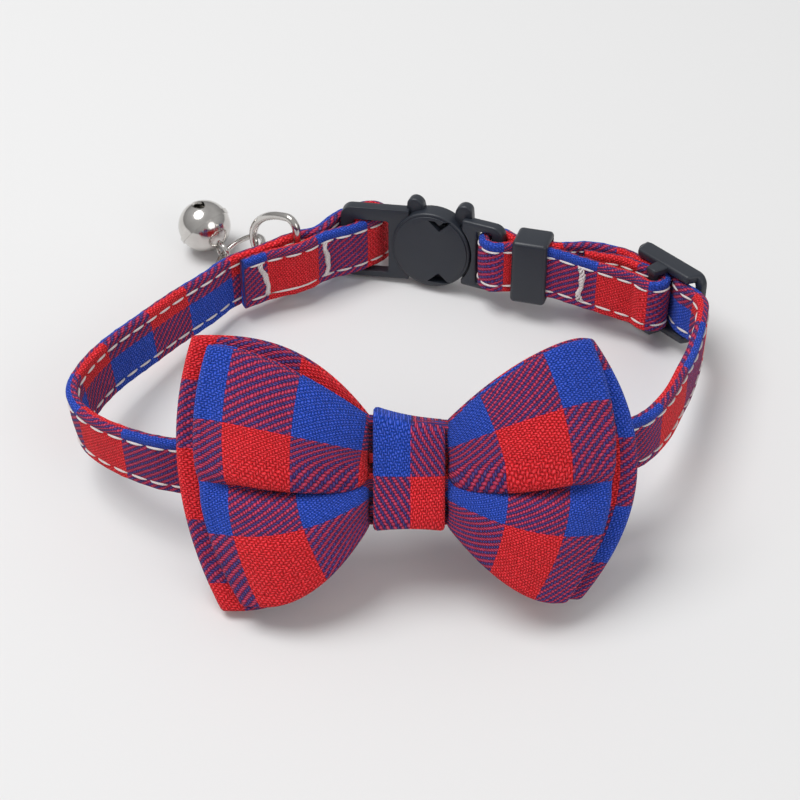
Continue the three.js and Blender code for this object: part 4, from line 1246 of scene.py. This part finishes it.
def pick(piece, kind, test):
    """Goes into edit mode and selects the faces or edges that pass the test."""
    take(piece)
    bpy.ops.object.mode_set(mode="EDIT")
    bpy.ops.mesh.select_mode(type=kind)
    bpy.ops.mesh.select_all(action="DESELECT")
    mesh = bmesh.from_edit_mesh(piece.data)
    for item in mesh.faces if kind == "FACE" else mesh.edges:
        if test(item):
            item.select_set(True)
    bmesh.update_edit_mesh(piece.data)


def done():
    bpy.ops.object.mode_set(mode="OBJECT")


def edge_way(edge):
    return (edge.verts[1].co - edge.verts[0].co).normalized()


def edge_middle(edge):
    return (edge.verts[0].co + edge.verts[1].co) / 2


def round_edges(piece, test, offset, segments):
    pick(piece, "EDGE", test)
    bpy.ops.mesh.bevel(offset=offset, segments=segments, affect="EDGES")
    done()


# %% Modifiers and seats
def apply_modifier(piece, kind, **settings):
    modifier = piece.modifiers.new(kind.lower(), kind)
    for name, value in settings.items():
        setattr(modifier, name, value)
    take(piece)
    bpy.ops.object.modifier_apply(modifier=modifier.name)


def soften(piece, width, segments=3, degrees=40):
    apply_modifier(piece, "BEVEL", width=width, segments=segments, limit_method="ANGLE",
                   angle_limit=math.radians(degrees))


def combine(piece, tool, operation):
    apply_modifier(piece, "BOOLEAN", operation=operation, object=tool, solver="EXACT")
    bpy.data.objects.remove(tool)


def matrix_of(place):
    return Matrix.Translation(Vector(place["origin"])) @ Matrix.Rotation(place["direction"], 4, "Z")


def settle(piece, matrix, degrees=38):
    """Moves the mesh to its seat and shades it smooth up to an angle."""
    piece.data.transform(matrix)
    piece.data.update()
    take(piece)
    bpy.ops.object.shade_smooth_by_angle(angle=math.radians(degrees))


# %% [markdown]
# The clasp
# The head of the clasp is a thick disc with two blunt ears behind its rim and an arm on its left
# that ends in a slotted frame for the strap. Two small windows in its face show the prongs of the
# other half. The disc is a rod whose rim is bevelled and whose face is inset and raised. Ears,
# arm and windows are blocks and prisms joined to it or cut from it, because a boolean keeps each
# of them easy to change.

# %% Model a slotted arm
RAIL_OUTSIDE = 7.1
LOW_RAIL = 1.15
FRAME_DEPTH = 2.2
FRAME_CORNER = 2.0
SLOT_CORNER = 0.5
SOFT_EDGE = 0.45
slot_half = STRAP_HALF + GAP


def lies_across(edge):
    """True for an edge that runs through the plate, from its front to its back."""
    return abs(edge_way(edge).y) > 0.9


def bar_frame(name, bar, root, slot_from, side, slot_rise):
    """The slotted frame that a strap loops through, in the seat of its arm."""
    ends = sorted((side * root, side * (bar + BAR_RADIUS)))
    low, high = -BAR_INSET - FRAME_DEPTH / 2, -BAR_INSET + FRAME_DEPTH / 2
    made = add_block(name, (ends[0], low, slot_rise - slot_half - LOW_RAIL),
                     (ends[1], high, RAIL_OUTSIDE))
    far = side * (bar + BAR_RADIUS)
    round_edges(made, lambda edge: lies_across(edge) and abs(edge_middle(edge).x - far) < 0.01,
                FRAME_CORNER, 8)
    slot = sorted((side * slot_from, side * (bar - BAR_RADIUS)))
    hole = add_block("slot", (slot[0], low - 1, slot_rise - slot_half),
                     (slot[1], high + 1, slot_rise + slot_half))
    round_edges(hole, lies_across, SLOT_CORNER, 4)
    combine(made, hole, "DIFFERENCE")
    soften(made, SOFT_EDGE)
    return made


print("the slot for the strap is", 2 * slot_half, "mm high")

# %% Model the ears and the windows
EAR_REACH = 4.3
EAR_RISE = 1.7
EAR_WIDTH = 4.0
EAR_THICK = 2.2
EAR_ROOT = 1.2
EAR_SHIFT = 1.1
EAR_TAPER = 0.66
EAR_TIP_ROUND = 1.25
WINDOW_WIDTH = 4.2
WINDOW_DEPTH = 2.0
WINDOW_FROM_RIM = 1.2
WINDOW_SHIFT = 1.7
NOTCH_WIDTH = 1.7
NOTCH_DEPTH = 0.8


def ear_block(side, room=0):
    half = EAR_WIDTH / 2 + room
    root = math.sqrt(HEAD_RADIUS ** 2 - EAR_REACH ** 2) - EAR_ROOT - room
    tip = HEAD_RADIUS + EAR_RISE + room
    made = add_block("ear", (-half, HEAD_THICK / 2 - EAR_THICK - room, root),
                     (half, HEAD_THICK / 2 + room, tip))
    pick(made, "FACE", lambda face: face.normal.z > 0.9)
    bpy.ops.transform.resize(value=(EAR_TAPER, 1, 1))
    bpy.ops.transform.translate(value=(side * half * 0.2, 0, 0))
    done()
    round_edges(made, lambda edge: lies_across(edge) and edge_middle(edge).z > tip - 0.01,
                EAR_TIP_ROUND, 8)
    soften(made, 0.4, 3, 50)
    made.data.transform(Matrix.Translation((side * EAR_REACH + EAR_SHIFT, 0, 0)))
    return made


def window_prism(side, width, depth, middle_x, rim):
    """A three-sided prism across the face, with its point towards the middle of the disc."""
    made = add_rod("window", 1, HEAD_THICK, (0, -HEAD_THICK / 2 - 0.2, 0), "y", 3)
    corners = [vertex.co for vertex in made.data.vertices]
    wide = max(corner.x for corner in corners) - min(corner.x for corner in corners)
    low, high = min(corner.z for corner in corners), max(corner.z for corner in corners)
    wide_top = sum(corner.z > high - 0.01 for corner in corners) > 2
    for corner in corners:
        share = (corner.z - low) / (high - low)
        share = 1 - share if wide_top else share
        corner.x = middle_x + corner.x * width / wide
        corner.z = side * (rim - share * depth)
    pick(made, "FACE", lambda face: True)
    bpy.ops.mesh.normals_make_consistent(inside=False)
    done()
    return made


print("ears", EAR_WIDTH, "mm wide, windows", WINDOW_WIDTH, "mm wide")

# %% Model the clasp's head
FACE_RISE = 0.25
FACE_RIM = 0.12
CAVITY_LEFT = 3.6
TONGUE_THICK = 1.1
TONGUE_HALF = 5.1

head_disc = add_rod("clasp_head_body", HEAD_RADIUS, HEAD_THICK - FACE_RISE, (0, FACE_RISE / 2, 0), "y")
round_edges(head_disc, lambda edge: abs(edge_way(edge).y) < 0.5, SOFT_EDGE, 5)
pick(head_disc, "FACE", lambda face: face.normal.y < -0.99 and face.calc_area() > 20)
bpy.ops.mesh.inset(thickness=FACE_RIM)
bpy.ops.mesh.extrude_region_move(TRANSFORM_OT_translate={"value": (0, -FACE_RISE, 0)})
bpy.ops.mesh.bevel(offset=FACE_RIM, segments=3, affect="EDGES")
done()
for side in (-1, 1):
    combine(head_disc, ear_block(side), "UNION")
left_arm = bar_frame("left_arm", LEFT_ARM, root=-3, slot_from=0.75, side=-1,
                     slot_rise=tab_height - head_height)
left_arm.data.transform(matrix_of(head).inverted() @ matrix_of(left_frame))
combine(head_disc, left_arm, "UNION")
cavity = add_block("cavity", (-CAVITY_LEFT, -TONGUE_THICK / 2 - GAP, -TONGUE_HALF - GAP),
                   (HEAD_RADIUS + 1.6, TONGUE_THICK / 2 + GAP, TONGUE_HALF + GAP))
combine(head_disc, cavity, "DIFFERENCE")
window_rim = HEAD_RADIUS - WINDOW_FROM_RIM
for side in (-1, 1):
    prism = window_prism(side, WINDOW_WIDTH, WINDOW_DEPTH, WINDOW_SHIFT, window_rim)
    if side > 0:
        notch = window_prism(side, NOTCH_WIDTH, NOTCH_DEPTH, WINDOW_SHIFT, window_rim + 0.05)
        combine(prism, notch, "DIFFERENCE")
    combine(head_disc, prism, "DIFFERENCE")
settle(head_disc, LOOP @ matrix_of(head))
finish_piece(head_disc, plastic, "black_plastic", "clasp_head")

# %% Model the clasp's tongue
TONGUE_LEFT = 3.1
PRONG_WIDTH = 2.3
slot_start = RIGHT_ARM - bar_spread - STRAP_THICK / 2 - GAP

tongue = add_block("clasp_tongue_body", (-TONGUE_LEFT, -TONGUE_THICK / 2, -TONGUE_HALF),
                   (HEAD_RADIUS + 1, TONGUE_THICK / 2, TONGUE_HALF))
between = add_block("between", (-4, -2, PRONG_WIDTH - TONGUE_HALF), (4.2, 2, TONGUE_HALF - PRONG_WIDTH))
combine(tongue, between, "DIFFERENCE")
right_arm = bar_frame("right_arm", RIGHT_ARM, root=-1.6, slot_from=slot_start, side=1,
                      slot_rise=KEEPER_LIFT)
right_arm.data.transform(matrix_of(head).inverted() @ matrix_of(right_frame))
combine(right_arm, add_rod("clear", HEAD_RADIUS + GAP, 12, (0, 0, 0), "y"), "DIFFERENCE")
combine(right_arm, ear_block(1, GAP), "DIFFERENCE")
combine(tongue, right_arm, "UNION")
settle(tongue, LOOP @ matrix_of(head))
finish_piece(tongue, plastic, "black_plastic", "clasp_tongue")

# %% [markdown]
# The keeper and the slider
# The keeper is a short square sleeve that holds two layers of the strap together. A block with
# both ends inset and the two insets bridged is exactly that. The slider is a rounded frame lying
# outside the strap, with a round core across its middle, set inwards on two bosses, that the
# strap's end is sewn round.

# %% Model the keeper
KEEPER_WALL = 0.85
KEEPER_ROUND = 0.78
keeper_deep = STRAP_THICK + 1.5 * GAP
keeper_outer = (KEEPER_LENGTH / 2, keeper_deep + KEEPER_WALL, slot_half + KEEPER_WALL)
keeper_sleeve = add_block("keeper_sleeve", [-half for half in keeper_outer], keeper_outer)
round_edges(keeper_sleeve, lambda edge: True, KEEPER_ROUND, 6)
keeper_end = KEEPER_LENGTH / 2 - 0.01
pick(keeper_sleeve, "FACE", lambda face: abs(face.calc_center_median().x) > keeper_end)
bpy.ops.mesh.inset(thickness=KEEPER_WALL - KEEPER_ROUND, use_individual=True)
bpy.ops.mesh.bridge_edge_loops()
done()
settle(keeper_sleeve, LOOP @ matrix_of(keeper))
finish_piece(keeper_sleeve, plastic, "black_plastic", "keeper")

# %% Model the slider
SLIDER_PLATE = 1.6
SLIDER_RAIL = 1.6
SLIDER_CORNER = 2.0
SLIDER_BULGE = 0.35
SLIDER_DEEP = 1.8
BOSS_HALF = 1.1
BOSS_INSET = 0.3
slider_face = STRAP_THICK / 2 + GAP
slider_front = slider_face + SLIDER_PLATE
slider_tall = slot_half + SLIDER_RAIL
slot_reach = SLIDER_HALF - SLIDER_BAR


def add_wider_block(name, half, back, front, low, tall, wider, edge, segments=3):
    """A soft block on a rail of the slider, whose outer face is wider than its root."""
    block = add_block(name, (-half, back, low), (half, front, low + tall))
    pick(block, "FACE", lambda face: face.normal.y > 0.9)
    bpy.ops.transform.resize(value=(wider, 1, 1))
    done()
    soften(block, edge, segments)
    return block


slider_frame = add_block("slider_frame", (-SLIDER_HALF, slider_face, -slider_tall),
                         (SLIDER_HALF, slider_front, slider_tall))
round_edges(slider_frame, lies_across, SLIDER_CORNER, 8)
hole = add_block("hole", (-slot_reach, -2, -slot_half), (slot_reach, 6, slot_half))
round_edges(hole, lies_across, 0.8, 5)
combine(slider_frame, hole, "DIFFERENCE")
soften(slider_frame, SOFT_EDGE)
boss_tall = SLIDER_RAIL - BOSS_INSET
for side in (-1, 1):
    low = min(side * slot_half, side * slider_tall)
    rail = add_wider_block("rail", slot_reach, slider_face - SLIDER_DEEP, slider_front - 0.1,
                           low, SLIDER_RAIL, 1.18, 0.55, 5)
    combine(slider_frame, rail, "UNION")
    low = min(side * slot_half, side * (slider_tall - BOSS_INSET))
    boss = add_wider_block("boss", BOSS_HALF, core_out - SLIDER_CORE, slider_front - BOSS_INSET,
                           low, boss_tall, 1.6, 0.3)
    combine(slider_frame, boss, "UNION")
core = add_rod("core", SLIDER_CORE, 2 * slot_half + 0.8, (0, core_out, 0), "z", 32)
combine(slider_frame, core, "UNION")
for vertex in slider_frame.data.vertices:
    if vertex.co.y > slider_face - 0.5:
        vertex.co.y += SLIDER_BULGE * (1 - (vertex.co.x / SLIDER_HALF) ** 2)
settle(slider_frame, LOOP @ matrix_of(slider))
finish_piece(slider_frame, plastic, "black_plastic", "slider")

# %% [markdown]
# The elastic
# Behind the bow a loop of flat black elastic goes round the strap and holds the bow on. It is the
# same kind of closed band as the knot, so the knot's helper makes it. Elastic is ribbed along its
# length, and a fine wave across its width shows that better than modelled ribs would: it raises a
# bump and paints the colour darker in each groove, as painted shade.

# %% Close the elastic
# The elastic's black with painted shade in the grooves between its ribs, and its lighter colour on the
# rib tops.
ELASTIC_GROOVE_SHADE = (0.006, 0.006, 0.008)
ELASTIC_LIGHT = (0.028, 0.028, 0.032)
ELASTIC_RIBS = 1.9


def elastic_cloth(points):
    return np.stack([points[:, 0] * 1.2, points[:, 2]], axis=-1)


def band_shape(points):
    return points - np.array([0, 0, BOW_RAISE])


elastic = ribbed_material("ribbed_elastic", {"Roughness": 0.85, "Sheen Weight": 0.2},
                          (ELASTIC_GROOVE_SHADE, ELASTIC_LIGHT), ELASTIC_RIBS, (0.6, 0.00015),
                          distortion=0.4)
bow_band = band_ring(
    "bow_band_elastic", elastic_cloth, band_shape, front=BAND_BACK + BAND_WALL,
    back=-BAND_BACK - BAND_WALL, half_height=STRAP_HALF + GAP + BAND_WALL, wall=BAND_WALL,
    width=BAND_WIDTH, squareness=0.2)
finish_piece(bow_band, elastic, "black_elastic", "bow_band")

# %% [markdown]
# Bright nickel
# The ring, jump ring and bell are plated steel: a clear mirror that has picked up some fine
# scratches and a slight warm film. A perfect mirror would look computed, so noise changes the film
# and bends the reflections a little. It is the plastic's recipe with other values.

# %% Plate the nickel
NICKEL = (0.74, 0.725, 0.70)
NICKEL_FILM = (0.50, 0.475, 0.45)
nickel = clouded_material("bright_nickel", {"Metallic": 1}, (NICKEL_FILM, NICKEL),
                          420, (0.08, 0.14), (9000, 2, 0.08, 0.00002))
print("nickel nodes:", len(nickel.node_tree.nodes))

# %% [markdown]
# The D ring and the jump ring
# Both are round wire. A wire is quickest as a curve with a bevel, made a mesh at the end. The D
# ring's straight side lies in the tunnel between the two tacks, and the jump ring hangs in it.
# Where the jump ring lies is read from its solid: the middle of its points, and the flattest way.

# %% Bend the wires
RING_INSIDE = 13
RING_DEPTH = 10.4
RING_SWING = math.radians(21)
RING_CORNER = 2.0
LINK_RADIUS = 5.0
LINK_WIRE = 1.0


def wire_loop(name, points, radius):
    curve = bpy.data.curves.new(name, "CURVE")
    curve.dimensions = "3D"
    spline = curve.splines.new("POLY")
    spline.points.add(len(points) - 1)
    for point, place in zip(spline.points, points):
        point.co = (*place, 1)
    spline.use_cyclic_u = True
    curve.bevel_depth = radius
    curve.bevel_resolution = 5
    made = bpy.data.objects.new(name, curve)
    bpy.context.scene.collection.objects.link(made)
    take(made)
    bpy.ops.object.convert(target="MESH")
    return bpy.context.object


def node_points(node):
    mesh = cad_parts[node].data
    return np.array([tuple(vertex.co) for vertex in mesh.vertices])


def flattest_way(points):
    """The direction in which points spread least."""
    centred = points - points.mean(axis=0)
    return np.linalg.svd(centred, full_matrices=False)[2][2]


def circle_points(radius, count):
    angles = np.linspace(0, 2 * math.pi, count + 1)[:-1]
    return [(radius * math.cos(angle), radius * math.sin(angle), 0) for angle in angles]


ring_half = (RING_INSIDE + RING_WIRE) / 2
ring_reach = RING_DEPTH + RING_WIRE / 2
ring_start = math.asin(RING_CORNER / ring_reach)
ring_arc = [(ring_reach * math.sin(angle), 0, ring_half * math.cos(angle))
            for angle in np.linspace(ring_start, math.pi - ring_start, 41)]
corner_z = ring_arc[0][2] - RING_CORNER
corner_turns = np.linspace(0.15, math.pi / 2, 7)
low_corner = [(RING_CORNER * (1 - math.sin(turn)), 0, -corner_z - RING_CORNER * math.cos(turn))
              for turn in corner_turns]
ring_bar = [(0, 0, share * corner_z) for share in np.linspace(-0.85, 0.85, 7)]
high_corner = [(x, 0, -z) for x, y, z in low_corner[::-1]]
ring_seat = route_seat(RING_AT)[0]
ring_place = at(ring_seat, 0, 0)
ring_place[2] += RING_INSIDE / 2 - STRAP_HALF - GAP
ring_way = ring_seat["direction"] + math.pi / 2 + RING_SWING
d_ring = wire_loop("d_ring_wire", ring_arc + low_corner + ring_bar + high_corner, RING_WIRE / 2)
settle(d_ring, LOOP @ Matrix.Translation(Vector(ring_place)) @ Matrix.Rotation(ring_way, 4, "Z"), 60)
finish_piece(d_ring, nickel, "bright_nickel", "d_ring")

link_points = node_points("jump_ring")
link_centre = (link_points.max(axis=0) + link_points.min(axis=0)) / 2
link_turn = Vector(flattest_way(link_points)).to_track_quat("Z", "Y").to_matrix().to_4x4()
jump_ring = wire_loop("jump_ring_wire", circle_points(LINK_RADIUS, 64), LINK_WIRE / 2)
settle(jump_ring, Matrix.Translation(Vector(link_centre)) @ link_turn @ TO_METRES, 60)
finish_piece(jump_ring, nickel, "bright_nickel", "jump_ring")

# %% [markdown]
# The bell
# The bell is a hollow ball pressed from two thin cups, with a seam band round the middle, a slot
# that ends in two round holes, a wire loop on top and a loose ball inside. It is a sphere whose
# seam edges are bevelled and pushed out. Solidify gives the wall, and the slot and the holes are
# cut through it.

# %% Model the bell
BELL_RADIUS = 4.9
BELL_WALL = 0.5
BELL_BAND = 0.25
BELL_BAND_WIDTH = 0.9
BELL_SLOT = 1.0
BELL_HOLE = 1.1
HANGER_WIRE = 0.9
HANGER_RADIUS = 1.7
PEA_RADIUS = 1.6
PEA_BAND = 0.05
PEA_DROP = BELL_RADIUS - BELL_WALL - PEA_RADIUS - GAP / 2
hanger_centre = BELL_RADIUS + HANGER_RADIUS - HANGER_WIRE / 2 - 0.2

pea_points = node_points("bell_pea")
pea_centre = (pea_points.max(axis=0) + pea_points.min(axis=0)) / 2
bell_centre = pea_centre + np.array([0, 0, PEA_DROP / 1000])
bell_points = node_points("bell")
distances = np.linalg.norm(bell_points - bell_centre, axis=1)
hanger_points = bell_points[distances > (BELL_RADIUS + 1) / 1000]
bell_axis = hanger_points.mean(axis=0) - bell_centre
bell_axis /= np.linalg.norm(bell_axis)
hanger_normal = flattest_way(hanger_points)
hanger_normal -= bell_axis * hanger_normal.dot(bell_axis)
hanger_normal /= np.linalg.norm(hanger_normal)
bell_turn = np.eye(4)
bell_turn[:3, 0] = bell_axis
bell_turn[:3, 1] = hanger_normal
bell_turn[:3, 2] = np.cross(bell_axis, hanger_normal)
bell_seat = Matrix.Translation(Vector(bell_centre)) @ Matrix(bell_turn) @ TO_METRES


def seamed_ball(name, radius, band, width, segments):
    """A ball whose middle edges are pushed out as a narrow band. Its axis is x."""
    clear_selection()
    bpy.ops.mesh.primitive_uv_sphere_add(
        segments=segments, ring_count=segments // 2, radius=radius, rotation=(0, math.pi / 2, 0))
    ball = bpy.context.object
    ball.name = name
    bpy.ops.object.transform_apply(location=True, rotation=True, scale=True)
    pick(ball, "EDGE", lambda edge: abs(edge_middle(edge).x) < 1e-4 and abs(edge_way(edge).x) < 0.1)
    bpy.ops.mesh.bevel(offset=width / 2, segments=1, affect="EDGES")
    bpy.ops.mesh.select_mode(type="FACE")
    bpy.ops.mesh.extrude_region_shrink_fatten(TRANSFORM_OT_shrink_fatten={"value": band})
    done()
    return ball


shell = seamed_ball("bell_shell", BELL_RADIUS - 0.02, BELL_BAND, BELL_BAND_WIDTH, 64)
apply_modifier(shell, "SOLIDIFY", thickness=BELL_WALL, offset=-1)
slot_end = BELL_RADIUS * 0.72
slot = add_block("slot", (-BELL_RADIUS - 1, -BELL_SLOT / 2, -slot_end),
                 (-BELL_RADIUS * 0.3, BELL_SLOT / 2, slot_end))
combine(shell, slot, "DIFFERENCE")
for side in (-1, 1):
    hole_middle = (-BELL_RADIUS * 0.95, 0, side * BELL_RADIUS * 0.66)
    combine(shell, add_rod("hole", BELL_HOLE, BELL_RADIUS, hole_middle, "x", 32), "DIFFERENCE")
hanger_line = [(hanger_centre + x, y, z) for x, z, y in circle_points(HANGER_RADIUS, 32)]
combine(shell, wire_loop("hanger", hanger_line, HANGER_WIRE / 2), "UNION")
settle(shell, bell_seat, 35)
finish_piece(shell, nickel, "bright_nickel", "bell")

pea = seamed_ball("bell_ball", PEA_RADIUS - PEA_BAND, PEA_BAND, 0.25, 32)
settle(pea, Matrix.Translation(Vector(pea_centre)) @ TO_METRES, 50)
finish_piece(pea, nickel, "bright_nickel", "bell_pea")

# %% [markdown]
# Cloth that is cut from a sheet
# The two bows and the knot are made of flat bands. The strap and the elastic are webbing, not sheets.


# %% [markdown]
# The floor and the light
# The collar lies on a light grey table. One large soft lamp on the upper left models the puffs and
# the fold, and a weaker one opens the shadows. The sky is wide and darker low down, because nickel
# in a plain white room has nothing to reflect.

# %% Lay the table
FLOOR_GREY = (0.765, 0.765, 0.765)
FLOOR_CLOUD = 0.985


def floor_material():
    material, tree, shader = new_material("table_grey", {"Roughness": 0.9})
    darker = tuple(value * FLOOR_CLOUD for value in FLOOR_GREY)
    tint = mix_colours(tree, noise_texture(tree, 3), darker, FLOOR_GREY)
    tree.links.new(tint, shader.inputs["Base Color"])
    return material


clear_selection()
bpy.ops.mesh.primitive_plane_add(size=6, location=(0, 0, 0))
floor = bpy.context.object
floor.name = "floor"
floor.data.materials.append(floor_material())
floor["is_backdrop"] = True
print("the table is", floor.dimensions.x, "m wide")

# %% Hang the lamps and the sky
LAMP_SIZE = 0.50
SKY_STRENGTH = 0.52
SKY_LOW = (0.34, 0.34, 0.35)
SKY_HIGH = (1, 1, 1)
SKY_LIFT = 0.35


def area_light(name, place, power):
    data = bpy.data.lights.new(name, "AREA")
    data.shape = "DISK"
    data.size = LAMP_SIZE
    data.energy = power
    lamp = bpy.data.objects.new(name, data)
    bpy.context.scene.collection.objects.link(lamp)
    lamp.location = place
    lamp.rotation_euler = (-Vector(place)).to_track_quat("-Z", "Y").to_euler()
    print(name, power, "W")


world = bpy.data.worlds.new("studio")
bpy.context.scene.world = world
world.use_nodes = True
sky_tree = world.node_tree
sky = sky_tree.nodes["Background"]
rise = sky_tree.nodes.new("ShaderNodeSeparateXYZ")
sight = sky_tree.nodes.new("ShaderNodeTexCoord")
sky_tree.links.new(sight.outputs["Generated"], rise.inputs[0])
lifted = maths(sky_tree, "ADD", rise.outputs[2], SKY_LIFT)
sky_tree.links.new(mix_colours(sky_tree, lifted, SKY_LOW, SKY_HIGH), sky.inputs["Color"])
sky.inputs["Strength"].default_value = SKY_STRENGTH
area_light("key_lamp", (-0.30, 0.05, 0.75), 4.4)
area_light("fill_lamp", (0.50, -0.50, 0.45), 0.9)
bpy.context.scene.view_settings.view_transform = "Standard"

# %% [markdown]
# The sizes
# The box of the solids and the box of all the pieces are printed, in millimetres. The pieces
# may stand only a little outside the box of the solids.

# %% Print the sizes and finish
boxes = {"cad": cad_box, "visual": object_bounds()}
for name, (low, high) in boxes.items():
    print(name, [round(1000 * (b - a), 1) for a, b in zip(low, high)], "mm")
